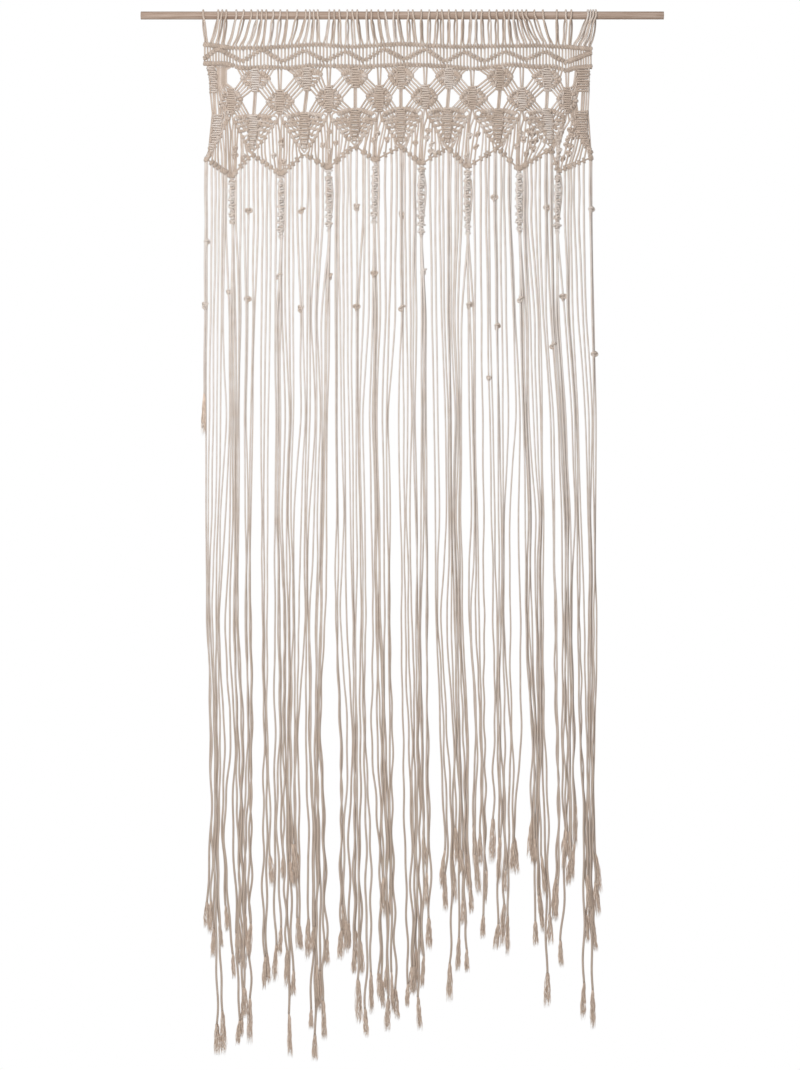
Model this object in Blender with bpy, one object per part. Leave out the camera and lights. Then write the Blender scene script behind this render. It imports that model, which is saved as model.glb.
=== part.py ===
"""Macrame string curtain hanging from a plain wooden rod.

The scene is in metres, +Z up, with +X along the rod and the curtain's face towards -Y.
The origin is the middle of the rod, on its axis. The sizes below are in millimetres.

Pieces: the rod; a heading of loops that ride on it, with the row of hitches they end in; the
knotted net below; the strings, one comb along the net's zigzag edge; and a spiral sinnet with its
own four strings at each low point of the edge.
"""

import math
from typing import NamedTuple

import bmesh
import bpy
from mathutils import Vector
from mathutils.geometry import tessellate_polygon

MM = 0.001
GAP = 0.3

ROD_LENGTH = 1046.0
ROD_RADIUS = 8.0
ROD_SIDES = 32

CORD = 3.0
STRINGS = 118
EDGE_STRINGS = 8
SINNET_STRINGS = 4
GAP_STRINGS = 10

# The heading's row of hitches, and how far its first and last loop stand from the middle.
ROW_TOP = -59.0
ROW_BOTTOM = -69.0
ROW_DEPTH = 10.0
ROW_LEFT = -395.0
ROW_RIGHT = 377.0

NET_DEPTH = 8.0
EDGE_SPINE_HEIGHT = 5.0
EDGE_SPINE_DEPTH = 3.4
EDGE_GAP = 0.5

SINNET_WIDTH = 8.0
SINNET_TURN = math.radians(45)
SINNET_PITCH = 26.0
LAYER = 2.0

# Heights at which the strings' places are stated.
WAIST_Z = -770.0
GATHER_Z = -1530.0


class LoopRun(NamedTuple):
    """Neighbouring loops on the rod: x of the first and of the last, and their number."""

    first: float
    last: float
    count: int


class Low(NamedTuple):
    """A low point of the net's edge and the sinnet below it."""

    x: float
    z: float
    sinnet_x: float
    sinnet_bottom: float


class Diamond(NamedTuple):
    """A column of knotted diamonds: its middle, and how far its openings reach to either side."""

    x: float
    reach_left: float
    reach_right: float


class Bunch(NamedTuple):
    """Strings that draw together as they hang.

    waist and gather are x of the first and last string at WAIST_Z and GATHER_Z, and ends holds
    each string's end, left to right, as x and its drop below the rod's axis.
    """

    waist: tuple
    gather: tuple
    ends: tuple


LOOP_RUNS = (
    LoopRun(-398, -398, 1),
    LoopRun(-368, -352, 3),
    LoopRun(-332, -302, 3),
    LoopRun(-289, -272, 3),
    LoopRun(-258, -230, 3),
    LoopRun(-210, -210, 1),
    LoopRun(-193, -169, 4),
    LoopRun(-146, -126, 3),
    LoopRun(-110, -90, 3),
    LoopRun(-71, -62, 2),
    LoopRun(-48, -34, 2),
    LoopRun(-17, -8, 2),
    LoopRun(12, 21, 2),
    LoopRun(38, 70, 3),
    LoopRun(79, 121, 4),
    LoopRun(137, 159, 3),
    LoopRun(174, 203, 3),
    LoopRun(213, 248, 5),
    LoopRun(264, 281, 2),
    LoopRun(309, 309, 1),
    LoopRun(327, 338, 2),
    LoopRun(371, 387, 4),
)

# The net's sides from top to bottom, and its zigzag lower edge: high points, low points.
LEFT_SIDE = ((-396, -85), (-398, -100), (-388, -127), (-384, -160), (-381, -205), (-386, -255))
RIGHT_SIDE = ((374, -81), (378, -101), (375, -155), (374, -205), (372, -240), (376, -263))
HIGHS = ((-391, -288), (-301, -277), (-196, -276), (-96, -261), (-3, -262), (90, -264),
         (191, -265), (297, -266), (380, -283))
LOWS = (
    Low(-341, -322, -339, -420),
    Low(-243, -318, -242, -446),
    Low(-148, -305, -146, -430),
    Low(-54, -289, -56, -418),
    Low(38, -297, 38, -442),
    Low(128, -299, 131, -436),
    Low(234, -301, 235, -436),
    Low(311, -312, 310, -434),
)

# Openings beside the pairs of cords above and below the diamonds, right-hand one, from the pair.
# Each point is a share of the opening's reach and a height.
UPPER_OPENING = ((0.2, -106), (0.48, -105), (1.0, -121), (0.52, -141), (0.2, -139))
LOWER_OPENING = ((0.2, -153), (0.43, -152), (1.0, -168), (0.48, -185), (0.2, -184))
SLIT_X = (9.0, 15.0)
SLIT_RISE = 70.0
SLIT_FOOT = 24.0
UPPER_DIAMONDS = (
    Diamond(-341, 14, 21),
    Diamond(-245, 21, 21),
    Diamond(-147, 21, 21),
    Diamond(-45, 21, 21),
    Diamond(46, 21, 21),
    Diamond(139, 21, 21),
    Diamond(240, 21, 21),
    Diamond(330, 13, 13),
)
LOWER_DIAMONDS = (
    Diamond(-294, 21, 21),
    Diamond(-192, 21, 21),
    Diamond(-94, 21, 21),
    Diamond(-2, 21, 21),
    Diamond(92, 21, 21),
    Diamond(195, 21, 21),
    Diamond(291, 21, 18),
    Diamond(356, 8, 8),
)

STRAY = Bunch((-396, -396), (-396, -396), ((-397, 843),))
BUNCHES = (
    Bunch((-391, -364), (-386, -364),
          ((-391, 1827), (-384, 1842), (-378, 1889), (-370, 2083), (-363, 1869), (-356, 2081))),
    Bunch((-354, -354), (-356, -356), ((-349, 1836),)),
    Bunch((-347, -347), (-341, -341), ((-337, 1929),)),
    Bunch((-342, -315), (-333, -313),
          ((-331, 1905), (-328, 2062), (-324, 1890), (-321, 2048), (-318, 1913), (-315, 2010),
           (-312, 1880))),
    Bunch((-307, -300), (-306, -301), ((-306, 1890), (-304, 2063))),
    Bunch((-283, -261), (-279, -265), ((-275, 1951), (-269, 1944), (-261, 1747), (-254, 1936))),
    Bunch((-252, -219), (-250, -208),
          ((-243, 1885), (-237, 1733), (-231, 1950), (-224, 2088), (-217, 1967), (-211, 1739),
           (-203, 1875))),
    Bunch((-200, -146), (-192, -156),
          ((-189, 1894), (-186, 1860), (-182, 2031), (-178, 1880), (-175, 2094), (-171, 1997),
           (-168, 1905), (-165, 1999), (-161, 1908), (-157, 2054), (-152, 1906))),
    Bunch((-132, -108), (-125, -109), ((-122, 1893), (-117, 1850), (-111, 1880), (-106, 1870))),
    Bunch((-101, -85), (-99, -84), ((-96, 1921), (-92, 1899), (-88, 2021), (-83, 1925))),
    Bunch((-78, -67), (-77, -68), ((-72, 2047), (-62, 2001))),
    Bunch((-60, -30), (-50, -18),
          ((-44, 1975), (-40, 1990), (-36, 1809), (-32, 1960), (-28, 2036), (-24, 1805),
           (-19, 2000), (-12, 2013))),
    Bunch((-8, -8), (2, 2), ((10, 1987),)),
    Bunch((2, 25), (15, 32), ((19, 1965), (24, 1960), (29, 1948), (34, 2033), (39, 1950))),
    Bunch((34, 42), (41, 49), ((44, 1708), (48, 1790), (53, 1874))),
    Bunch((48, 84), (72, 89), ((78, 1750), (84, 1797), (94, 1977), (103, 1782))),
    Bunch((92, 132), (101, 131),
          ((109, 1708), (113, 1917), (117, 1722), (121, 1831), (125, 1790), (129, 1917),
           (133, 1760), (138, 1800))),
    Bunch((139, 147), (147, 162), ((147, 1711), (157, 1707), (166, 1782))),
    Bunch((159, 190), (183, 206),
          ((182, 1701), (187, 1873), (191, 1742), (196, 1730), (200, 1869), (205, 1759),
           (211, 1885))),
    Bunch((201, 211), (218, 223), ((221, 1719), (229, 1722))),
    Bunch((219, 226), (244, 249), ((256, 1690), (260, 1701))),
    Bunch((231, 281), (257, 288),
          ((264, 1703), (268, 1865), (272, 1695), (276, 1805), (280, 1840), (285, 1770),
           (290, 1989), (295, 1862), (300, 1817))),
    Bunch((290, 297), (306, 311), ((307, 1817), (316, 1908))),
    Bunch((303, 327), (320, 344),
          ((322, 1720), (326, 1690), (331, 1745), (336, 1700), (340, 1737), (345, 1668))),
    Bunch((336, 336), (355, 355), ((362, 2013),)),
    Bunch((344, 384), (364, 386),
          ((370, 1861), (374, 1800), (377, 1850), (381, 2031), (385, 1876), (389, 1807),
           (393, 1762))),
)

COTTON = (0.533, 0.429, 0.361, 1.0)
BEECH = (0.515, 0.337, 0.254, 1.0)


def spread(first, last, count):
    """Return count evenly spaced values from first to last."""
    if count == 1:
        return [first]
    return [first + (last - first) * index / (count - 1) for index in range(count)]


def make_material(name, colour, roughness):
    """Return a Principled material of one colour."""
    material = bpy.data.materials.new(name)
    material.use_nodes = True
    shader = material.node_tree.nodes["Principled BSDF"]
    shader.inputs["Base Color"].default_value = colour
    shader.inputs["Roughness"].default_value = roughness
    shader.inputs["Metallic"].default_value = 0.0
    return material


def add_object(name, bm, material):
    """Put a closed mesh, modelled in place, into the scene with its faces pointing out."""
    bmesh.ops.recalc_face_normals(bm, faces=bm.faces)
    mesh = bpy.data.meshes.new(name)
    bm.to_mesh(mesh)
    bm.free()
    piece = bpy.data.objects.new(name, mesh)
    piece.data.materials.append(material)
    bpy.context.scene.collection.objects.link(piece)
    return piece


def new_vertex(bm, point):
    """Add a vertex at a point given in millimetres."""
    return bm.verts.new(Vector(point) * MM)


def join_rings(bm, ring, following):
    """Join two rings of equally many vertices by a band of quads."""
    for side in range(len(ring)):
        other = (side + 1) % len(ring)
        bm.faces.new((ring[side], ring[other], following[other], following[side]))


def grow(bm, ring, sections):
    """Carry a ring of vertices through sections of points, and return the last ring."""
    for section in sections:
        following = [new_vertex(bm, point) for point in section]
        join_rings(bm, ring, following)
        ring = following
    return ring


def add_bar(bm, stations, top, bottom, top_rows, bottom_rows, open_top=(), open_bottom=()):
    """Add a bar along X whose marked cells are left open for what grows out of them.

    stations are its x values, top and bottom give a height for an x, and the rows are the y
    values of its lines. Returns the top and the bottom vertices as lists, one for each station.
    """
    above = [[new_vertex(bm, (x, y, top(x))) for y in top_rows] for x in stations]
    below = [[new_vertex(bm, (x, y, bottom(x))) for y in bottom_rows] for x in stations]
    for index in range(len(stations) - 1):
        for rows, opened in ((above, open_top), (below, open_bottom)):
            if index in opened:
                continue
            for row in range(len(rows[0]) - 1):
                bm.faces.new((rows[index][row], rows[index + 1][row],
                              rows[index + 1][row + 1], rows[index][row + 1]))
        for row in (0, -1):
            bm.faces.new((above[index][row], above[index + 1][row],
                          below[index + 1][row], below[index][row]))
    for end in (0, -1):
        bm.faces.new(above[end] + below[end][::-1])
    return above, below


def square(x, y, z, half=CORD / 2):
    """Return the four corners of a level square section around a point."""
    return ((x - half, y - half, z), (x + half, y - half, z),
            (x + half, y + half, z), (x - half, y + half, z))


def edge_height(x):
    """Return the height of the net's zigzag edge at x."""
    points = sorted([*HIGHS, *((low.x, low.z) for low in LOWS)])
    for (left, left_z), (right, right_z) in zip(points, points[1:]):
        if x <= right:
            break
    share = min(max((x - left) / (right - left), 0.0), 1.0)
    return left_z + (right_z - left_z) * share


def string_tops():
    """Return x of every string where it leaves the net, left to right."""
    clear = 10.0
    tops = spread(HIGHS[0][0] + CORD / 2, LOWS[0].x - clear, EDGE_STRINGS)
    for low, following in zip(LOWS, [*LOWS[1:], None]):
        tops += [low.x] * SINNET_STRINGS
        if following:
            tops += spread(low.x + clear, following.x - clear, GAP_STRINGS)
    return tops + spread(LOWS[-1].x + clear, HIGHS[-1][0] - CORD / 2, EDGE_STRINGS)


def in_sinnet(index):
    """Tell whether a string belongs to a sinnet."""
    return (index - EDGE_STRINGS) % (SINNET_STRINGS + GAP_STRINGS) < SINNET_STRINGS and (
        EDGE_STRINGS <= index < STRINGS - EDGE_STRINGS)


def string_routes():
    """Return each string's points below the net, left to right.

    Neighbours hang in two layers, in front and behind, so that they may draw together.
    """
    routes = [[(STRAY.ends[0][0], -LAYER, -STRAY.ends[0][1])]]
    for bunch in BUNCHES:
        count = len(bunch.ends)
        places = zip(spread(*bunch.waist, count), spread(*bunch.gather, count), bunch.ends)
        for waist_x, gather_x, (end_x, drop) in places:
            y = -LAYER if len(routes) % 2 == 0 else LAYER
            routes.append([(waist_x, y, WAIST_Z), (gather_x, y, GATHER_Z), (end_x, y, -drop)])
    return routes


def build_rod(material):
    """The rod: a plain dowel along X."""
    bm = bmesh.new()
    rings = []
    for x in (-ROD_LENGTH / 2, ROD_LENGTH / 2):
        angles = [2 * math.pi * side / ROD_SIDES for side in range(ROD_SIDES)]
        rings.append([new_vertex(bm, (x, ROD_RADIUS * math.cos(a), ROD_RADIUS * math.sin(a)))
                      for a in angles])
    join_rings(bm, *rings)
    for ring in rings:
        bm.faces.new(ring)
    rod = add_object("rod", bm, material)
    rod.data.shade_smooth()
    rod.data.set_sharp_from_angle(angle=math.radians(40))
    return rod


def build_heading(material):
    """The heading: a loop over the rod for each pair of strings, and the row they end in."""
    seats = [x for run in LOOP_RUNS for x in spread(run.first, run.last, run.count)]
    half = CORD / 2
    foot_pitch = (ROW_RIGHT - ROW_LEFT) / len(seats)
    feet = [ROW_LEFT + foot_pitch * (index + 0.5) for index in range(len(seats))]
    stations = [ROW_LEFT] + [foot + side for foot in feet for side in (-half, half)] + [ROW_RIGHT]
    bm = bmesh.new()
    above, _ = add_bar(
        bm, stations, lambda x: ROW_TOP, lambda x: ROW_BOTTOM,
        (-ROW_DEPTH / 2, 0.0, ROW_DEPTH / 2), (-ROW_DEPTH / 2, ROW_DEPTH / 2),
        open_top=[1 + 2 * index for index in range(len(feet))])

    # Each loop is half a hexagon over the rod, its straight sides clear of the rod's surface.
    reach = ROD_RADIUS + GAP + half
    bends = [math.radians(degrees) for degrees in (180, 120, 60, 0)]
    inner, outer = ((reach + offset) / math.cos(math.radians(30)) for offset in (-half, half))
    for index, seat in enumerate(seats):
        left, right = above[1 + 2 * index], above[2 + 2 * index]
        sections = [((seat - half, inner * math.cos(a), inner * math.sin(a)),
                     (seat + half, inner * math.cos(a), inner * math.sin(a)),
                     (seat + half, outer * math.cos(a), outer * math.sin(a)),
                     (seat - half, outer * math.cos(a), outer * math.sin(a))) for a in bends]
        last = grow(bm, [left[1], right[1], right[0], left[0]], sections)
        join_rings(bm, last, [left[1], right[1], right[2], left[2]])
    return add_object("heading_loops", bm, material)


def net_openings():
    """Return the outlines of the net's largest openings."""
    outlines = []
    for diamonds, shape in ((UPPER_DIAMONDS, UPPER_OPENING), (LOWER_DIAMONDS, LOWER_OPENING)):
        for diamond in diamonds:
            outlines.append([(diamond.x + share * diamond.reach_right, z) for share, z in shape])
            outlines.append([(diamond.x - share * diamond.reach_left, z) for share, z in shape])
    for low in LOWS[:-1]:
        near, far = SLIT_X
        for side in (-1, 1):
            outlines.append([(low.x + side * near, low.z + SLIT_FOOT),
                             (low.x + side * far, low.z + SLIT_FOOT + 10),
                             (low.x + side * far, low.z + SLIT_RISE),
                             (low.x + side * near, low.z + SLIT_RISE + 10)])
    return outlines


def build_net(material):
    """The knotted net: a plate of its outer form with its largest openings."""
    top = ROW_BOTTOM - GAP
    edge = sorted([*HIGHS, *((low.x, low.z) for low in LOWS)])
    outline = [(ROW_LEFT, top), *LEFT_SIDE, *edge, *reversed(RIGHT_SIDE), (ROW_RIGHT, top)]
    outlines = [outline, *net_openings()]
    flat = [Vector((x, z, 0.0)) for points in outlines for x, z in points]
    triangles = tessellate_polygon([[Vector((x, z, 0.0)) for x, z in points]
                                    for points in outlines])
    bm = bmesh.new()
    front, back = ([new_vertex(bm, (point.x, y, point.y)) for point in flat]
                   for y in (-NET_DEPTH / 2, NET_DEPTH / 2))
    for triangle in triangles:
        bm.faces.new([front[index] for index in triangle])
        bm.faces.new([back[index] for index in triangle])
    start = 0
    for points in outlines:
        stop = start + len(points)
        join_rings(bm, front[start:stop], back[start:stop])
        start = stop
    return add_object("knotted_net", bm, material)


def build_fringe(material, routes):
    """The strings between the sinnets: one comb, whose back follows the net's edge."""
    half = CORD / 2
    teeth = [(x, route) for index, (x, route) in enumerate(zip(string_tops(), routes))
             if not in_sinnet(index)]
    stations = [HIGHS[0][0] - half] + [x + side for x, _ in teeth for side in (-half, half)]
    stations += [low.x for low in LOWS] + [HIGHS[-1][0] + half]
    stations = sorted(set(stations))
    rows = (-EDGE_SPINE_DEPTH / 2, EDGE_SPINE_DEPTH / 2)
    cells = [stations.index(x - half) for x, _ in teeth]
    bm = bmesh.new()
    _, below = add_bar(
        bm, stations, lambda x: edge_height(x) - EDGE_GAP,
        lambda x: edge_height(x) - EDGE_GAP - EDGE_SPINE_HEIGHT, rows, rows, open_bottom=cells)
    for cell, (_, route) in zip(cells, teeth):
        root = [below[cell][0], below[cell + 1][0], below[cell + 1][1], below[cell][1]]
        bm.faces.new(grow(bm, root, [square(*point) for point in route]))
    return add_object("string_fringe", bm, material)


def sinnet_section(x, z, turn):
    """Return the eight points, corners and middles of sides, of a sinnet's turned section."""
    half = SINNET_WIDTH / 2
    ring = [(-half, -half), (0, -half), (half, -half), (half, 0),
            (half, half), (0, half), (-half, half), (-half, 0)]
    return [(x + a * math.cos(turn) - b * math.sin(turn),
             a * math.sin(turn) + b * math.cos(turn), z) for a, b in ring]


def build_sinnet(number, low, routes, material):
    """A sinnet: a spiral column of half knots, and the four strings that leave its foot."""
    top = low.z - EDGE_GAP - EDGE_SPINE_HEIGHT - GAP
    turns = 2 * round((top - low.sinnet_bottom) / SINNET_PITCH / 2)
    bm = bmesh.new()
    ring = [new_vertex(bm, point) for point in sinnet_section(low.x, top, 0.0)]
    bm.faces.new(ring)
    foot = grow(bm, ring, [
        sinnet_section(low.x + (low.sinnet_x - low.x) * step / turns,
                       top + (low.sinnet_bottom - top) * step / turns, SINNET_TURN * step)
        for step in range(1, turns + 1)])
    # An even number of eighth turns ends square again: the strings leave its four quarters.
    first = foot.index(min(foot, key=lambda vertex: (round(vertex.co.x + vertex.co.y, 5))))
    foot = foot[first:] + foot[:first]
    middle = new_vertex(bm, (low.sinnet_x, 0.0, low.sinnet_bottom))
    quarters = ((foot[0], foot[1], middle, foot[7]), (foot[7], middle, foot[5], foot[6]),
                (foot[1], foot[2], foot[3], middle), (middle, foot[3], foot[4], foot[5]))
    for quarter, route in zip(quarters, routes):
        bm.faces.new(grow(bm, quarter, [square(*point) for point in route]))
    return add_object(f"spiral_sinnet_{number}", bm, material)


def main():
    """Clear the scene and build every piece."""
    for leftover in list(bpy.data.objects):
        bpy.data.objects.remove(leftover, do_unlink=True)
    cotton = make_material("natural_cotton_cord", COTTON, 0.9)
    beech = make_material("beech", BEECH, 0.55)
    routes = string_routes()
    build_rod(beech)
    build_heading(cotton)
    build_net(cotton)
    build_fringe(cotton, routes)
    for number, low in enumerate(LOWS):
        first = EDGE_STRINGS + number * (SINNET_STRINGS + GAP_STRINGS)
        build_sinnet(number + 1, low, routes[first:first + SINNET_STRINGS], cotton)


main()
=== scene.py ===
"""Looks of a macrame string curtain that hangs from a plain wooden rod.

The frame is in metres, with +Z up, +X along the rod and the curtain's face towards -Y; its origin
is the middle of the rod, on the axis. Sizes in the tables and fields below are in millimetres, and
a mesh turns them to metres when it is filled. Only the node trees and the studio are in metres.

The curtain is one cloth made of cords: loops over the rod, three rows of hitches, staggered
knotted diamonds, a row of pointed kites, a zigzag edge, spiral sinnets and free strings whose ends
are frayed.
"""

from __future__ import annotations

import logging
import math
import random
from collections.abc import Callable, Mapping, Sequence
from dataclasses import dataclass, field
from enum import Enum
from functools import partial
from typing import Any, NamedTuple

import bmesh
import bpy
import numpy as np
from mathutils import Matrix, Vector

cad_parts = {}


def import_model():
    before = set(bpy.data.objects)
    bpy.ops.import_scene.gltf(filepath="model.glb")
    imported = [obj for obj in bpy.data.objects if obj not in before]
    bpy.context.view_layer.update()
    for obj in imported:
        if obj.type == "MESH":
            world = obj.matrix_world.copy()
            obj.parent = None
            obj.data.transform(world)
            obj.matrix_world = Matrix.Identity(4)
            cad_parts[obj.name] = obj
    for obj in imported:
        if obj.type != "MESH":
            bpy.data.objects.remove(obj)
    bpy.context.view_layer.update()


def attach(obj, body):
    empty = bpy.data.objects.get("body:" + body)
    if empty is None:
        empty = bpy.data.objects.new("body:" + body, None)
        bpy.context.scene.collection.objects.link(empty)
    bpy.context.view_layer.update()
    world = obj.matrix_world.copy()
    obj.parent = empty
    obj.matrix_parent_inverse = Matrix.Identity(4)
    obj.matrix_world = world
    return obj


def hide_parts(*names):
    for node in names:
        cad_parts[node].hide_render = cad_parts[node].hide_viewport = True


LOG = logging.getLogger("macrame_curtain")

MM = 0.001
# How thick the cord is drawn. It is 3 mm cord, fluffed out a little.
CORD = 3.4

# The strings are numbered from 0 at the left. A diamond or a kite knots twelve of them, and the
# two between it and the next one pass straight down.
STRINGS = 118
GROUP = 12
HALF = GROUP // 2
REPEAT = 14
# The first string of the first diamond in the upper row and in the lower row, and of the first
# sinnet, which gathers four.
FIRST_UPPER = 11
FIRST_LOWER = 4
FIRST_SINNET = 8
SINNET_STRINGS = 4

# Names of node types that are used often.
MATH = "ShaderNodeMath"
MAP_RANGE = "ShaderNodeMapRange"
NOISE = "ShaderNodeTexNoise"
STORE = "GeometryNodeStoreNamedAttribute"
NAMED = "GeometryNodeInputNamedAttribute"

Spot = tuple[float, float]
Point = tuple[float, float, float]
Tree = bpy.types.NodeTree
AddNode = Callable[..., bpy.types.Node]


# ---- Tables of places, in millimetres ----


class Low(NamedTuple):
    """A low point of the net's edge and the sinnet below it."""

    x: float
    z: float
    sinnet_x: float
    sinnet_bottom: float


class Level(NamedTuple):
    """How the free strings hang at one height, from left to right.

    Each group is x of a single string, or x of the middle of several strings that hang together
    and how many they are.
    """

    z: float
    groups: tuple[float | tuple[float, int], ...]


class Diamond(NamedTuple):
    """A knotted diamond: x of its middle, z of its ends, and x and z of its corners."""

    x: float
    top: float
    bottom: float
    left: Spot
    right: Spot


class Tie(NamedTuple):
    """A small knot: where it sits, and its size against the usual one."""

    x: float
    z: float
    size: float = 1.0


# Runs of neighbouring loops on the rod: x of the first and of the last, and their number.
LOOP_RUNS = (
    (-398, -398, 1), (-368, -352, 3), (-332, -302, 3), (-289, -272, 3), (-258, -230, 3),
    (-210, -210, 1), (-193, -169, 4), (-146, -126, 3), (-110, -90, 3), (-71, -62, 2),
    (-48, -34, 2), (-17, -8, 2), (12, 21, 2), (38, 70, 3), (79, 121, 4), (137, 159, 3),
    (174, 203, 3), (213, 248, 5), (264, 281, 2), (309, 309, 1), (327, 338, 2), (371, 387, 4),
)

# Each row of hitches as x and z of its bends.
FIRST_ROW = ((-394, -58), (-370, -61), (-345, -65), (-275, -65), (-171, -58), (-109, -63),
             (0, -57), (106, -63), (265, -60), (330, -63), (378, -67))
ZIGZAG_ROW = ((-394, -85), (-370, -66), (-320, -92), (-280, -67), (-240, -93), (-196, -69),
              (-154, -91), (-112, -71), (-77, -91), (-36, -66), (3, -88), (47, -66), (85, -93),
              (124, -72), (164, -92), (205, -71), (247, -89), (285, -71), (327, -94), (376, -75))
LAST_ROW = ((-398, -96), (-355, -96), (-320, -105), (-275, -103), (-226, -105), (-188, -100),
            (-136, -101), (-67, -102), (2, -98), (85, -101), (141, -107), (210, -98), (265, -102),
            (300, -101), (328, -111), (350, -104), (378, -102))

# The knotted diamonds of the upper and the lower row, and the tops of the kites below them.
UPPER = (
    Diamond(-294, -106, -155, (-323, -126), (-264, -126)),
    Diamond(-191, -103, -153, (-217, -121), (-160, -117)),
    Diamond(-94, -104, -147, (-121, -117), (-70, -122)),
    Diamond(-3, -101, -149, (-28, -121), (22, -120)),
    Diamond(93, -104, -149, (67, -121), (118, -122)),
    Diamond(195, -101, -152, (170, -123), (221, -123)),
    Diamond(290, -104, -154, (260, -122), (318, -128)),
)
LOWER = (
    Diamond(-342, -145, -200, (-366, -175), (-320, -168)),
    Diamond(-245, -148, -200, (-272, -173), (-217, -172)),
    Diamond(-147, -140, -196, (-173, -164), (-119, -168)),
    Diamond(-46, -139, -195, (-72, -161), (-21, -165)),
    Diamond(46, -138, -189, (18, -162), (70, -164)),
    Diamond(140, -141, -190, (115, -164), (170, -166)),
    Diamond(239, -143, -193, (210, -166), (266, -168)),
    Diamond(330, -143, -198, (309, -167), (351, -171)),
)
KITE_TOPS = ((-297, -199), (-196, -194), (-94, -186), (-3, -184), (90, -185), (192, -187),
             (288, -187))

# The slanting sides of a kite, from its tip to its corner: how far out, and how far up.
KITE_SIDE = ((0.08, 0.0), (0.25, 0.19), (0.5, 0.43), (0.75, 0.75), (0.9, 0.92), (1.0, 1.0))

# The high and the low points of the net's zigzag edge. The kites point at the inner high ones.
HIGHS = ((-391, -288), (-301, -277), (-196, -276), (-96, -261), (-3, -262), (90, -264),
         (191, -265), (297, -266), (380, -283))
LOWS = (
    Low(-341, -322, -339, -420),
    Low(-243, -318, -242, -446),
    Low(-148, -305, -146, -430),
    Low(-54, -289, -56, -418),
    Low(38, -297, 38, -442),
    Low(130, -303, 131, -436),
    Low(233, -308, 235, -436),
    Low(311, -312, 310, -434),
)

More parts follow.
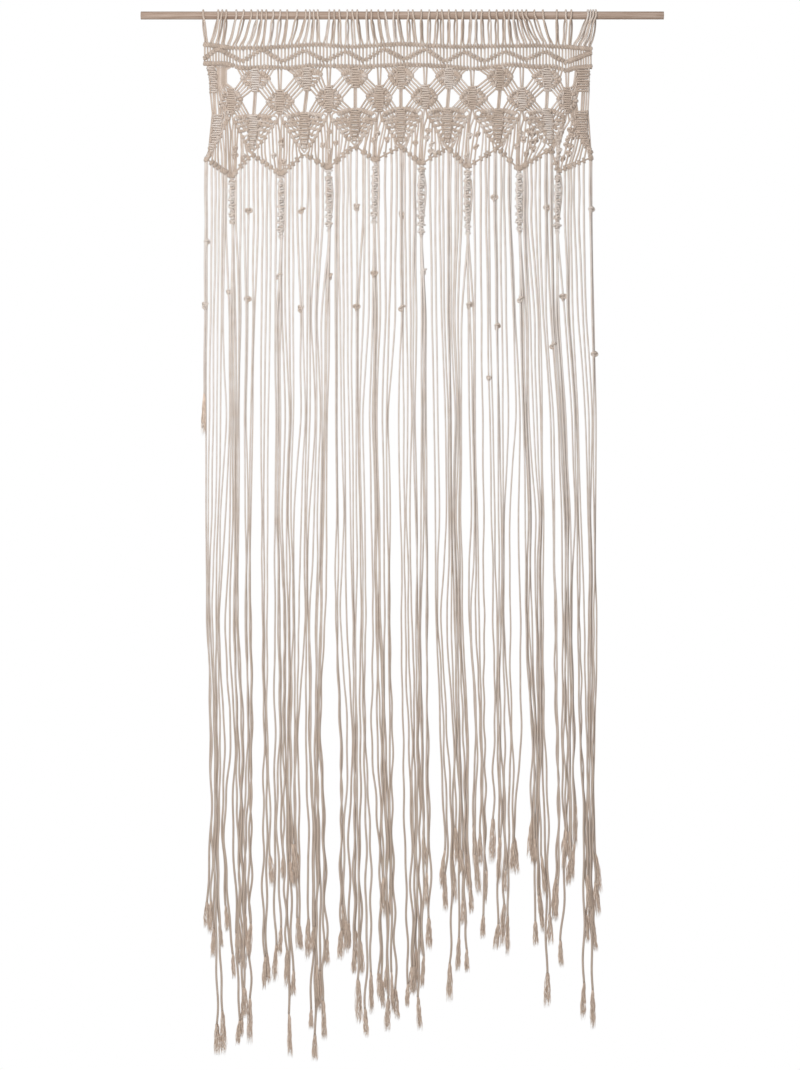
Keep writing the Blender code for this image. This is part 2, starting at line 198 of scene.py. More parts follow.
# The free strings, from left to right, at several heights.
LEVELS = (
    Level(-400, ((-392, 2), -381, -374, -367, -360, (-354, 2), (-341, 4), -333, -323, -316, -308,
        -297, -289, -279, -271, -263, -253, (-242, 4), -234, -226, -219, -210, -201, -190, -183,
        (-170, 2), -159, (-147, 4), (-130, 3), -118, -110, -103, -91, (-77, 2), -67, (-56, 4),
        -48, -34, -22, -12, (-2, 2), 5, 15, (25, 2), (38, 4), 56, 66, 74, 82, (94, 3), 106, 112,
        118, (131, 4), 144, 157, 167, 173, (186, 2), 197, 204, (215, 2), (235, 4), (246, 3), 258,
        267, 275, (288, 2), (298, 2), (310, 4), 325, 332, 337, 344, 353, 363, (377, 2))),
    Level(-600, ((-393, 2), -383, -377, -369, (-360, 2), (-340, 5), (-325, 2), (-311, 2),
        (-297, 2), -281, -273, -265, (-251, 3), (-242, 2), -234, -226, -218, (-201, 2), -190,
        (-184, 2), (-172, 2), -161, (-152, 2), -146, (-132, 2), -124, -117, -109, -101, (-90, 2),
        -78, -67, (-55, 4), -44, -33, -26, -10, (0, 2), 8, 17, 22, 28, (43, 4), 59, 68, 79, 84,
        (94, 3), (103, 2), 111, 119, (134, 2), (144, 2), 159, 171, 176, (189, 2), 199, 208,
        (224, 2), (239, 3), (249, 2), 256, 264, (275, 3), 285, (294, 3), (312, 4), (332, 2), 341,
        348, 361, 368, (381, 2))),
    Level(-800, ((-394, 2), -385, -378, -371, -364, -352, (-342, 3), (-331, 4), (-314, 2),
        (-301, 2), -282, -276, -268, (-248, 4), -234, (-224, 2), -218, (-194, 3), -185,
        (-173, 2), (-162, 2), (-155, 2), -150, (-132, 2), -122, -116, -107, -100, -92, (-87, 2),
        -79, -65, (-55, 4), -40, (-30, 2), -7, 3, 11, (22, 3), (43, 4), 63, 71, 86, (95, 3),
        (112, 5), 134, (143, 3), 161, 175, 181, (193, 2), 201, 212, 227, 235, (247, 5), 262, 269,
        (278, 2), 296, 302, (313, 2), (321, 3), 327, 339, (348, 3), 366, 373, (381, 2), 387)),
    Level(-1000, (-393, -388, -381, -374, -368, -364, -354, -345, (-333, 5), -314, (-306, 3),
        (-279, 2), -269, (-250, 4), -241, (-230, 2), -223, -217, -202, (-193, 2), -186, -176,
        -170, (-160, 3), -152, (-130, 2), (-115, 2), -104, -98, -92, (-83, 2), -75, -62,
        (-50, 4), -37, -30, -24, -4, (6, 2), 15, (28, 2), 37, (46, 3), 66, 74, 88, (96, 3),
        (105, 3), (115, 2), 138, (147, 3), 163, 178, 185, 192, (201, 3), 215, 232, 246, (255, 3),
        267, (278, 4), (303, 2), 319, (330, 5), (349, 3), 357, (374, 3), (385, 2))),
    Level(-1200, ((-388, 3), -380, (-369, 3), -354, -345, (-333, 4), (-313, 2), (-304, 2),
        (-278, 2), -270, -254, (-247, 2), (-235, 2), (-227, 2), (-217, 2), -207, (-193, 2),
        (-187, 2), (-172, 2), (-162, 2), -154, (-131, 2), -124, -112, (-96, 3), (-81, 2), -73,
        -59, (-48, 4), -35, (-26, 2), -2, 7, 12, 19, (32, 4), (49, 2), (69, 2), 77, 89, 98,
        (110, 5), 120, (135, 2), 146, 153, 164, 181, (191, 2), (200, 3), 216, 237, (250, 3), 259,
        (269, 2), (278, 3), (307, 2), (330, 7), (353, 2), 364, (376, 3), 383, 389)),
    Level(-1450, ((-383, 2), (-373, 3), -364, -355, -343, (-331, 3), (-319, 2), (-305, 4),
        (-273, 3), -254, (-244, 2), (-236, 2), -229, (-224, 2), (-212, 3), -192, (-185, 2),
        (-169, 5), (-123, 2), -110, (-95, 4), -84, (-75, 2), -68, -50, (-38, 4), -25, -19, 2, 13,
        (22, 2), (31, 2), (40, 2), (50, 2), 77, 83, 90, (109, 5), 122, (130, 2), (148, 2),
        (158, 2), 165, 184, (192, 2), 197, 205, (219, 2), 245, (270, 8), 285, (310, 2), (321, 2),
        (333, 3), (343, 2), (357, 2), (373, 4), (383, 2))),
    Level(-1650, ((-382, 2), (-375, 2), (-369, 2), (-358, 2), -339, (-321, 6), (-304, 2), -277,
        -271, -265, (-252, 2), (-239, 2), (-226, 4), (-214, 2), -207, -187, (-172, 5), (-157, 2),
        (-120, 3), -108, (-95, 2), (-87, 2), -72, -64, -47, (-41, 2), (-26, 5), 5, (24, 4), 35,
        (44, 2), (53, 2), (89, 2), (100, 2), (114, 3), (126, 4), (141, 2), (163, 3), (194, 3),
        (205, 2), 213, (221, 2), (266, 7), 286, 292, (312, 2), (327, 2), (340, 4), 352,
        (374, 8))),
)

# The end of each free string: x, and how far below the rod it hangs.
ENDS = (
    (-397, 843), (-391, 1827), (-384, 1842), (-378, 1889), (-370, 2083), (-363, 1869),
    (-356, 2081), (-349, 1836), (-337, 1929), (-331, 1905), (-328, 2062), (-324, 1890),
    (-321, 2048), (-318, 1913), (-315, 2010), (-312, 1880), (-306, 1890), (-304, 2063),
    (-275, 1951), (-269, 1944), (-261, 1747), (-254, 1936), (-243, 1885), (-237, 1733),
    (-231, 1950), (-224, 2088), (-220, 1745), (-217, 1967), (-214, 1750), (-211, 1739),
    (-207, 1872), (-203, 1875), (-189, 1894), (-182, 2031), (-178, 1880), (-175, 2094),
    (-171, 1997), (-165, 1999), (-157, 2054), (-152, 1906), (-122, 1893), (-117, 1850),
    (-111, 1880), (-106, 1870), (-96, 1921), (-92, 1899), (-88, 2021), (-83, 1925), (-72, 2047),
    (-62, 2001), (-44, 1975), (-40, 1990), (-36, 1809), (-32, 1960), (-28, 2036), (-24, 1805),
    (-19, 2000), (-12, 2013), (10, 1987), (19, 1965), (24, 1960), (29, 1948), (34, 2033),
    (37, 1885), (40, 1950), (44, 1708), (48, 1790), (53, 1874), (78, 1750), (84, 1797), (94, 1977),
    (103, 1782), (109, 1708), (113, 1917), (117, 1722), (123, 1825), (129, 1917),
    (133, 1760), (138, 1800), (147, 1711), (152, 1765), (157, 1707), (161, 1850), (166, 1782),
    (182, 1701), (187, 1873), (191, 1742), (200, 1869), (205, 1759), (211, 1885), (221, 1719),
    (229, 1722), (256, 1690), (260, 1701), (264, 1703), (268, 1865), (276, 1805), (280, 1840),
    (285, 1770), (290, 1989), (295, 1862), (300, 1817), (307, 1817), (316, 1908), (322, 1720),
    (326, 1690), (331, 1745), (336, 1700), (340, 1737), (345, 1668), (362, 2013), (370, 1861),
    (374, 1800), (377, 1850), (381, 2031), (385, 1876), (389, 1807), (393, 1762),
)

# Small knots tied in the strings between the kites, and in the free strings below the edge.
NET_TIES = (
    Tie(-334, -266, 0.9), Tie(-336, -280, 0.9), Tie(-241, -250, 0.9), Tie(-241, -260, 0.9),
    Tie(-257, -280, 0.7), Tie(-235, -293, 0.9), Tie(-144, -233, 0.7), Tie(-158, -259, 0.7),
    Tie(-146, -271, 0.7), Tie(-129, -255, 0.7), Tie(-47, -236, 0.9), Tie(-58, -249, 0.7),
    Tie(-33, -248, 0.7), Tie(53, -231, 0.8), Tie(53, -245, 0.8), Tie(24, -255, 0.7),
    Tie(67, -276, 0.7), Tie(133, -240, 0.8), Tie(146, -262, 0.8), Tie(128, -279, 0.8),
    Tie(238, -236, 0.8), Tie(226, -262, 0.8), Tie(247, -276, 0.8), Tie(326, -246, 0.8),
    Tie(316, -270, 0.8), Tie(338, -262, 0.8), Tie(251, -232, 0.9), Tie(263, -237, 0.9),
    Tie(246, -247, 0.9), Tie(258, -253, 0.9), Tie(271, -250, 0.9), Tie(264, -266, 0.9),
    Tie(318, -233, 0.9), Tie(332, -230, 0.9), Tie(343, -241, 0.9), Tie(313, -252, 0.9),
    Tie(324, -259, 0.9), Tie(309, -284, 0.9), Tie(321, -286, 0.8), Tie(332, -276, 0.8),
    Tie(150, -237, 0.8), Tie(54, -257, 0.8), Tie(56, -272, 0.8), Tie(-318, -282, 0.8),
)
STRING_TIES = (
    Tie(-307, -391), Tie(-203, -389), Tie(-89, -383), Tie(0, -398), Tie(184, -365),
    Tie(289, -385), Tie(377, -388), Tie(-391, -453), Tie(-246, -520), Tie(-146, -521),
    Tie(-56, -517), Tie(43, -511), Tie(-393, -580), Tie(-310, -568), Tie(-203, -586),
    Tie(-92, -583), Tie(-1, -584), Tie(134, -579), Tie(235, -567), Tie(319, -563),
    Tie(191, -621), Tie(299, -659), Tie(383, -678), Tie(-349, -553, 0.6), Tie(175, -725, 0.6),
)


# ---- Small helpers ----


def to_linear(colour: str) -> tuple[float, float, float, float]:
    """Turn an sRGB colour to linear.

    Args:
        colour: Six hex digits with a leading #.

    Returns:
        Red, green, blue and an alpha of 1.
    """
    parts = (int(colour[i:i + 2], 16) / 255 for i in (1, 3, 5))
    red, green, blue = (c / 12.92 if c <= 0.04045 else ((c + 0.055) / 1.055) ** 2.4 for c in parts)
    return red, green, blue, 1.0


def add_node(tree: Tree, kind: str, inputs: Mapping[Any, Any] | None = None,
             **settings: Any) -> bpy.types.Node:
    """Add a node to a tree.

    Args:
        tree: The tree that takes the node.
        kind: The node's type.
        inputs: For each input, by name or number, what feeds it or its own value. A node feeds it
            from its first output.
        **settings: The node's own properties.

    Returns:
        The new node.
    """
    node = tree.nodes.new(kind)
    for key, value in settings.items():
        setattr(node, key, value)
    for key, value in (inputs or {}).items():
        if isinstance(value, bpy.types.Node):
            value = value.outputs[0]
        if isinstance(value, bpy.types.NodeSocket):
            tree.links.new(value, node.inputs[key])
        else:
            node.inputs[key].default_value = value
    return node


def set_stops(ramp: bpy.types.ColorRamp, stops: Sequence[tuple[float, str]]) -> None:
    """Set the stops of a colour ramp.

    Args:
        ramp: The ramp.
        stops: Positions from 0 to 1 with their sRGB colours.
    """
    while len(ramp.elements) < len(stops):
        ramp.elements.new(1.0)
    for element, (position, colour) in zip(ramp.elements, stops):
        element.position = position
        element.color = to_linear(colour)


def link(name: str, data: bpy.types.ID) -> bpy.types.Object:
    """Put data in the scene.

    Args:
        name: The new object's name.
        data: Its mesh, light or camera.

    Returns:
        The object.
    """
    thing = bpy.data.objects.new(name, data)
    bpy.context.scene.collection.objects.link(thing)
    return thing


def spread(first: float, last: float, count: int) -> list[float]:
    """Return count evenly spaced values from first to last."""
    return [first] if count == 1 else [float(x) for x in np.linspace(first, last, count)]


def height_on(bends: Sequence[Spot], x: float) -> float:
    """Return the height, at x, of a line given by its bends."""
    return float(np.interp(x, [bend[0] for bend in bends], [bend[1] for bend in bends]))


def between(start: Spot, end: Spot, share: float) -> Spot:
    """Return the place a share of the way from start to end."""
    return start[0] + (end[0] - start[0]) * share, start[1] + (end[1] - start[1]) * share


def upright(spots: Sequence[Spot], y: float = 0.0) -> list[Point]:
    """Return the points at the given x and z, at one depth."""
    return [(x, y, z) for x, z in spots]


def smooth_path(stops: Sequence[Point], step: float) -> np.ndarray:
    """Lead a smooth curve through points.

    Args:
        stops: The points, in order.
        step: The longest distance between points of the result.

    Returns:
        The curve's points, one row each.
    """
    fixed = np.array(stops, dtype=float)
    lengths = np.linalg.norm(np.diff(fixed, axis=0), axis=1)
    knots = np.concatenate([[0.0], np.cumsum(np.maximum(lengths, 1e-3))])
    slopes = np.gradient(fixed, knots, axis=0)
    pieces = []
    for index, length in enumerate(lengths):
        span = knots[index + 1] - knots[index]
        t = np.linspace(0, 1, max(1, math.ceil(length / step)), endpoint=False)[:, None]
        pieces.append((2 * t**3 - 3 * t**2 + 1) * fixed[index]
                      + (t**3 - 2 * t**2 + t) * span * slopes[index]
                      + (3 * t**2 - 2 * t**3) * fixed[index + 1]
                      + (t**3 - t**2) * span * slopes[index + 1])
    return np.vstack([*pieces, fixed[-1:]])


def bent_path(stops: Sequence[Point], step: float, reach: float,
              shortest: float = 0.3) -> np.ndarray:
    """Lead a taut cord straight from stop to stop, with a round bend at each.

    Args:
        stops: The stops, in order.
        step: The longest distance between points of the result.
        reach: How far from a stop its bend begins.
        shortest: A straight part shorter than this gets no points of its own.

    Returns:
        The cord's points, one row each.
    """
    fixed = np.array(stops, dtype=float)
    corners = []
    for before, here, after in zip(fixed, fixed[1:], fixed[2:]):
        back, ahead = before - here, after - here
        corners.append((here + back * min(reach / np.linalg.norm(back), 0.5), here,
                        here + ahead * min(reach / np.linalg.norm(ahead), 0.5)))
    corners.append((fixed[-1], fixed[-1], fixed[-1]))
    points = [fixed[0]]
    for number, (start, here, end) in enumerate(corners):
        length = float(np.linalg.norm(start - points[-1]))
        if length > shortest:
            points += [points[-1] + (start - points[-1]) * share
                       for share in np.linspace(0, 1, math.ceil(length / step) + 1)[1:]]
        if number < len(corners) - 1:
            points += [(1 - t) ** 2 * start + 2 * t * (1 - t) * here + t ** 2 * end
                       for t in (1 / 3, 2 / 3, 1.0)]
    return np.array(points)


def group_places(level: Level, apart: float = 2.9) -> list[float]:
    """Return x of every string at a level.

    Args:
        level: The level.
        apart: How far apart the strings of a group hang.

    Returns:
        x of the strings from left to right.
    """
    places: list[float] = []
    for group in level.groups:
        middle, count = group if isinstance(group, tuple) else (group, 1)
        places += [middle + apart * (number - (count - 1) / 2) for number in range(count)]
    return places


# ---- Finishes ----


class Lay(Enum):
    """Which way a cord's plies turn."""

    Z_TWIST = 1
    S_TWIST = -1


@dataclass(frozen=True)
class Finish:
    """What a surface is made of, and how it was made."""

    name: str

    def shader(self, add: AddNode) -> bpy.types.Node:
        """Return the shader, made with nodes that add puts in the material."""
        raise NotImplementedError

    def build(self) -> bpy.types.Material:
        """Make the material.

        Returns:
            The material, named for the finish.
        """
        material = bpy.data.materials.new(self.name)
        material.use_nodes = True
        material.node_tree.nodes.clear()
        add = partial(add_node, material.node_tree)
        add("ShaderNodeOutputMaterial", {"Surface": self.shader(add)})
        return material


@dataclass(frozen=True)
class CottonCord(Finish):
    """Natural cotton cord, three plies laid together.

    Undyed cotton is matt and slightly fuzzy: it has no gloss, and fine fibres run along each ply.
    The grooves between its plies are drawn darker, which is painted shade.
    """

    name: str = "natural cotton cord"
    crest: str = "#CEBEB1"
    # The grooves' colour is painted shade, where the plies meet.
    groove_shade: str = "#665141"
    plies: int = 3
    lay_length: float = 12.0
    lay: Lay = Lay.Z_TWIST
    groove_depth: float = 0.45
    fibre_waves: float = 8.0
    fuzz_per_metre: float = 900.0
    patches_per_metre: float = 55.0
    roughness: float = 0.93
    sheen: float = 0.15

    def shader(self, add: AddNode) -> bpy.types.Node:
        """Draw the plies on the cord's own UV map, and tint them with its tone.

        Args:
            add: Adds a node to the material.

        Returns:
            The shader.
        """
        parts = add("ShaderNodeSeparateXYZ", {0: add("ShaderNodeUVMap", uv_map="UVMap")})
        turns = add(MATH, {0: parts.outputs["Y"], 1: self.lay.value / (self.lay_length * MM),
                           2: parts.outputs["X"]}, operation="MULTIPLY_ADD")

        # One ply for each half wave: the crest of a ply is round and the groove is sharp.
        angle = add(MATH, {0: turns, 1: math.pi * self.plies}, operation="MULTIPLY")
        wave = add(MATH, {0: angle}, operation="SINE")
        ply = add(MATH, {0: wave}, operation="ABSOLUTE")

        # Spun fibres along each ply. They are drawn about 1 mm apart, many times too coarse, so
        # that they show.
        where = add("ShaderNodeTexCoord").outputs["Object"]
        fuzz = add(NOISE, {"Vector": where, "Scale": self.fuzz_per_metre, "Detail": 3.0})
        fibre_angle = add(MATH, {0: angle, 1: self.fibre_waves, 2: fuzz},
                          operation="MULTIPLY_ADD")
        fibre_wave = add(MATH, {0: fibre_angle}, operation="SINE")

        # The cord's tone drifts along it, in patches of about 20 mm, and from cord to cord. The
        # tone that the points carry is also painted light and shade: the free strings are paler
        # high up and darker towards their ends, and the rows of hitches are darker.
        drift = add(NOISE, {"Vector": where, "Scale": self.patches_per_metre, "Detail": 3.0})
        tone = add("ShaderNodeAttribute", attribute_name="tone")
        shade = add(MATH, {0: drift, 1: 1.5, 2: tone.outputs["Fac"]}, operation="MULTIPLY_ADD")
        bright = add(MAP_RANGE, {"Value": shade, "From Min": 0.5, "From Max": 2.3,
                                 "To Min": 0.78, "To Max": 1.19})
        # The ramp paints shade into the grooves between the plies, and gives the crests the cord's
        # own colour.
        colour = add("ShaderNodeValToRGB", {"Fac": ply})
        set_stops(colour.color_ramp, ((0.0, self.groove_shade), (0.62, self.crest)))
        # The palest cord is drawn greyer too. High on the free strings, where the paleness is
        # painted light, this greying is painted light as well.
        pale_greying = add(MAP_RANGE, {"Value": shade, "From Min": 1.1, "From Max": 2.2,
                               "To Min": 1.1, "To Max": 0.5})
        toned = add("ShaderNodeHueSaturation", {
            "Saturation": pale_greying, "Value": bright, "Color": colour})

        height = add(MATH, {0: fibre_wave, 1: 0.07, 2: ply}, operation="MULTIPLY_ADD")
        rough_height = add(MATH, {0: fuzz, 1: 0.35, 2: height}, operation="MULTIPLY_ADD")
        bump = add("ShaderNodeBump", {
            "Strength": 0.8, "Distance": self.groove_depth * MM, "Height": rough_height})
        return add("ShaderNodeBsdfPrincipled", {
            "Base Color": toned, "Roughness": self.roughness, "Sheen Weight": self.sheen,
            "Specular IOR Level": 0.25, "Normal": bump})


@dataclass(frozen=True)
class LooseCotton(Finish):
    """Cotton fibres combed out of the cord's end: matt, and without the laid cord's grooves."""

    name: str = "loose cotton fibre"
    light: str = "#E8D6C7"
    dark: str = "#CDB9A8"
    clumps_per_metre: float = 260.0
    bump_height: float = 0.2
    roughness: float = 0.95

    def shader(self, add: AddNode) -> bpy.types.Node:
        """Draw clumps of fibres, about 4 mm across, that differ a little in tone.

        Args:
            add: Adds a node to the material.

        Returns:
            The shader.
        """
        where = add("ShaderNodeTexCoord").outputs["Object"]
        clumps = add(NOISE, {"Vector": where, "Scale": self.clumps_per_metre, "Detail": 3.0})
        colour = add("ShaderNodeValToRGB", {"Fac": clumps})
        set_stops(colour.color_ramp, ((0.3, self.dark), (0.7, self.light)))
        bump = add("ShaderNodeBump", {
            "Strength": 0.5, "Distance": self.bump_height * MM, "Height": clumps})
        return add("ShaderNodeBsdfPrincipled", {
            "Base Color": colour, "Roughness": self.roughness, "Specular IOR Level": 0.2,
            "Normal": bump})


@dataclass(frozen=True)
class SandedBeech(Finish):
    """Sanded beech dowel, unvarnished or waxed.

    Beech is pinkish brown with fine straight grain and short dark flecks, and shines softly.
    """

    name: str = "sanded beech"
    light: str = "#A59285"
    middle: str = "#947E6E"
    dark: str = "#7D6657"
    grain_width: float = 1.2
    grain_stretch: float = 40.0
    flecks_per_metre: Point = (330.0, 2000.0, 2000.0)
    bump_height: float = 0.2
    roughness: float = 0.5

    def shader(self, add: AddNode) -> bpy.types.Node:
        """Draw the grain and the flecks along X.

        Args:
            add: Adds a node to the material.

        Returns:
            The shader.
        """
        where = add("ShaderNodeTexCoord").outputs["Object"]
        across = 1 / (self.grain_width * MM)
        stretched = add("ShaderNodeMapping", {
            "Vector": where, "Scale": (across / self.grain_stretch, across, across)})
        grain = add(NOISE, {"Vector": stretched, "Scale": 1.0, "Detail": 4.0, "Roughness": 0.6})
        # Wide bands of lighter and darker wood, and dark flecks of about 3 by 0.5 mm.
        bands = add(NOISE, {"Vector": stretched, "Scale": 0.22, "Detail": 2.0})
        short = add("ShaderNodeMapping", {"Vector": where, "Scale": self.flecks_per_metre})
        flecks = add(NOISE, {"Vector": short, "Scale": 1.0, "Detail": 1.0})
        mixed = add(MATH, {0: bands, 1: 0.8, 2: grain}, operation="MULTIPLY_ADD")
        fleck_cut = add(MAP_RANGE, {"Value": flecks, "From Min": 0.62, "From Max": 0.75,
                                    "To Min": 0.0, "To Max": -0.22})
        value = add(MATH, {0: mixed, 1: fleck_cut}, operation="ADD")
        colour = add("ShaderNodeValToRGB", {"Fac": value})
        set_stops(colour.color_ramp, ((0.55, self.dark), (0.85, self.middle), (1.0, self.light)))
        bump = add("ShaderNodeBump", {
            "Strength": 0.4, "Distance": self.bump_height * MM, "Height": grain})
        rough = add(MAP_RANGE, {"Value": grain, "To Min": self.roughness - 0.08,
                                "To Max": self.roughness + 0.12})
        return add("ShaderNodeBsdfPrincipled", {
            "Base Color": colour, "Roughness": rough, "IOR": 1.5, "Normal": bump})


@dataclass(frozen=True)
class StudioPaint(Finish):
    """Matt pale paint of the floor."""

    name: str = "matt pale floor paint"
    colour: str = "#F4F2EF"

    def shader(self, add: AddNode) -> bpy.types.Node:
        """Return an even matt shader."""
        return add("ShaderNodeBsdfPrincipled", {
            "Base Color": to_linear(self.colour), "Roughness": 0.9})


# ---- Wires, knot places and the node trees that turn them to cord ----


@dataclass
class PlaceMesh:
    """Points, and the edges between them, that a node tree grows cord on.

    Every point carries the named numbers or vectors that the tree reads.
    """

    points: list[np.ndarray] = field(default_factory=list)
    edges: list[np.ndarray] = field(default_factory=list)
    values: dict[str, list[np.ndarray]] = field(default_factory=dict)
    count: int = 0

    def add_points(self, points: np.ndarray, values: Mapping[str, np.ndarray]) -> None:
        """Add points.

        Args:
            points: Places in millimetres, one row each.
            values: Numbers or vectors for the points, one for each.
        """
        self.points.append(points * MM)
        for name, rows in values.items():
            self.values.setdefault(name, []).append(rows)
        self.count += len(points)

    def add_place(self, point: Sequence[float], **values: float | Sequence[float]) -> None:
        """Add one point, with the numbers or vectors that it carries."""
        self.add_points(np.array([point], dtype=float),
                        {name: np.array([value]) for name, value in values.items()})

    def add_cord(self, path: np.ndarray, tone: float | np.ndarray,
                 radius: float | np.ndarray = CORD / 2) -> None:
        """Add a cord's path.

        Args:
            path: Its points in millimetres, one row each.
            tone: How pale it is, from 0 to 1 or a little more, for all points or for each.
            radius: Its radius, for all points or for each.
        """
        # The radius drops to almost nothing just past both ends, which closes them.
        past, closed = 0.5, 0.001
        first, last = path[0] - path[1], path[-1] - path[-2]
        whole = np.vstack([path[0] + first / np.linalg.norm(first) * past, path,
                           path[-1] + last / np.linalg.norm(last) * past])
        radii, tones = np.full(len(whole), closed), np.full(len(whole), 0.5)
        radii[1:-1], tones[1:-1] = radius, tone
        start = np.arange(self.count, self.count + len(whole) - 1)
        self.edges.append(np.stack([start, start + 1], axis=1))
        self.add_points(whole, {"radius": radii * MM, "tone": tones})

    def build(self, name: str) -> bpy.types.Mesh:
        """Fill a mesh.

        Args:
            name: Its name.

        Returns:
            The mesh of points and edges, with the values as attributes.
        """
        mesh = bpy.data.meshes.new(name)
        mesh.vertices.add(self.count)
        mesh.vertices.foreach_set("co", np.vstack(self.points).ravel())
        if self.edges:
            edges = np.vstack(self.edges)
            mesh.edges.add(len(edges))
            mesh.edges.foreach_set("vertices", edges.astype(np.int32).ravel())
        for key, rows in self.values.items():
            stacked = np.concatenate(rows)
            kind, slot = ("FLOAT", "value") if stacked.ndim == 1 else ("FLOAT_VECTOR", "vector")
            mesh.attributes.new(key, kind, "POINT").data.foreach_set(slot, stacked.ravel())
        mesh.update()
        return mesh


def new_tree(name: str, sockets: Mapping[str, str]) -> tuple[Tree, AddNode, Any]:
    """Make a geometry tree that holds its input node only.

    Args:
        name: The tree's name.
        sockets: Names of its inputs, besides the geometry, with their socket types.

    Returns:
        The tree, a function that adds a node to it, and the outputs of its input node.
    """
    tree = bpy.data.node_groups.new(name, "GeometryNodeTree")
    tree.interface.new_socket("Geometry", in_out="INPUT", socket_type="NodeSocketGeometry")
    tree.interface.new_socket("Geometry", in_out="OUTPUT", socket_type="NodeSocketGeometry")
    for label, kind in sockets.items():
        tree.interface.new_socket(label, in_out="INPUT", socket_type=f"NodeSocket{kind}")
    add = partial(add_node, tree)
    return tree, add, add("NodeGroupInput").outputs


def round_cord(add: AddNode, curve: Any, radius: Any, sides: Any) -> bpy.types.Node:
    """Turn curves to cord with its own UV map.

    The cord's UV map holds the share of the way round in X and the metres along it in Y. The
    section is an open circle, so that the map has its seam, and is welded afterwards.

    Args:
        add: Adds a node to the tree.
        curve: The node or output that gives the curves.
        radius: The one that gives the cord's radius.
        sides: The one that gives the number of the cord's sides.

    Returns:
        The node that gives the mesh.
    """
    measure = add("GeometryNodeSplineParameter")
    marked = add(STORE, {"Geometry": curve, "Name": "along", "Value": measure.outputs["Length"]},
                 data_type="FLOAT", domain="POINT")
    corners = add(MATH, {0: sides, 1: 1.0}, operation="ADD")
    section = add("GeometryNodeCurveArc", {
        "Resolution": corners, "Radius": 1.0, "Start Angle": 0.0, "Sweep Angle": 2 * math.pi},
        mode="RADIUS")
    marked_section = add(STORE, {
        "Geometry": section, "Name": "around", "Value": measure.outputs["Factor"]},
        data_type="FLOAT", domain="POINT")
    tube = add("GeometryNodeCurveToMesh", {
        "Curve": marked, "Profile Curve": marked_section, "Scale": radius})
    around = add(NAMED, {"Name": "around"}, data_type="FLOAT")
    along = add(NAMED, {"Name": "along"}, data_type="FLOAT")
    both = add("ShaderNodeCombineXYZ", {"X": around, "Y": along})
    mapped = add(STORE, {"Geometry": tube, "Name": "UVMap", "Value": both},
                 data_type="FLOAT2", domain="CORNER")
    welded = add("GeometryNodeMergeByDistance", {"Geometry": mapped, "Distance": 0.01 * MM})
    return add("GeometryNodeSetShadeSmooth", {"Geometry": welded})


def end_tree(add: AddNode, geometry: Any, material: Any) -> None:
    """End a tree: realize the instances, set the material and give the geometry out.

    Args:
        add: Adds a node to the tree.
        geometry: The node that gives the geometry.
        material: The output that gives the material.
    """
    real = add("GeometryNodeRealizeInstances", {"Geometry": geometry})
    dressed = add("GeometryNodeSetMaterial", {"Geometry": real, "Material": material})
    add("NodeGroupOutput", {0: dressed})


def cord_tree() -> Tree:
    """Make the tree that lays cord, of each point's own radius, along runs of edges.

    Returns:
        The tree.
    """
    tree, add, given = new_tree("cord along a path", {"Sides": "Int", "Material": "Material"})
    curve = add("GeometryNodeMeshToCurve", {"Mesh": given["Geometry"]})
    radius = add(NAMED, {"Name": "radius"}, data_type="FLOAT")
    end_tree(add, round_cord(add, curve, radius, given["Sides"]), given["Material"])
    return tree


def turn_tree() -> Tree:
    """Make the tree that puts turns of cord, as a hitch or a half knot has, on each point.

    Returns:
        The tree.
    """
    tree, add, given = new_tree("turns of cord at points", {
        "Turns": "Float", "Steps": "Int", "Turn Radius": "Float", "Rise": "Float",
        "End Share": "Float", "Cord Radius": "Float", "Sides": "Int", "Material": "Material"})
    turns = add("GeometryNodeCurveSpiral", {
        "Resolution": given["Steps"], "Rotations": given["Turns"],
        "Start Radius": given["Turn Radius"], "End Radius": given["Turn Radius"],
        "Height": given["Rise"]})
    centre = add(MATH, {0: given["Rise"], 1: -0.5}, operation="MULTIPLY")
    lower = add("ShaderNodeCombineXYZ", {"Z": centre})
    # The turns draw in towards both ends, so that a hitch is round like a bead.
    along = add("GeometryNodeSplineParameter")
    half_wave = add(MATH, {0: along, 1: math.pi}, operation="MULTIPLY")
    swell = add(MATH, {0: half_wave}, operation="SINE")
    share = add(MAP_RANGE, {
        "Value": swell, "From Max": 0.8, "To Min": given["End Share"], "To Max": 1.0})
    scale = add("ShaderNodeCombineXYZ", {"X": share, "Y": share, "Z": 1.0})
    place = add("GeometryNodeInputPosition")
    rounded = add("ShaderNodeVectorMath", {0: place, 1: scale}, operation="MULTIPLY")
    centred = add("GeometryNodeSetPosition", {
        "Geometry": turns, "Position": rounded, "Offset": lower})
    cord = round_cord(add, centred, given["Cord Radius"], given["Sides"])
    turn = add(NAMED, {"Name": "turn"}, data_type="FLOAT_VECTOR")
    facing = add("FunctionNodeEulerToRotation", {0: turn})
    stretch = add(NAMED, {"Name": "stretch"}, data_type="FLOAT_VECTOR")
    placed = add("GeometryNodeInstanceOnPoints", {
        "Points": given["Geometry"], "Instance": cord, "Rotation": facing, "Scale": stretch})
    end_tree(add, placed, given["Material"])
    return tree


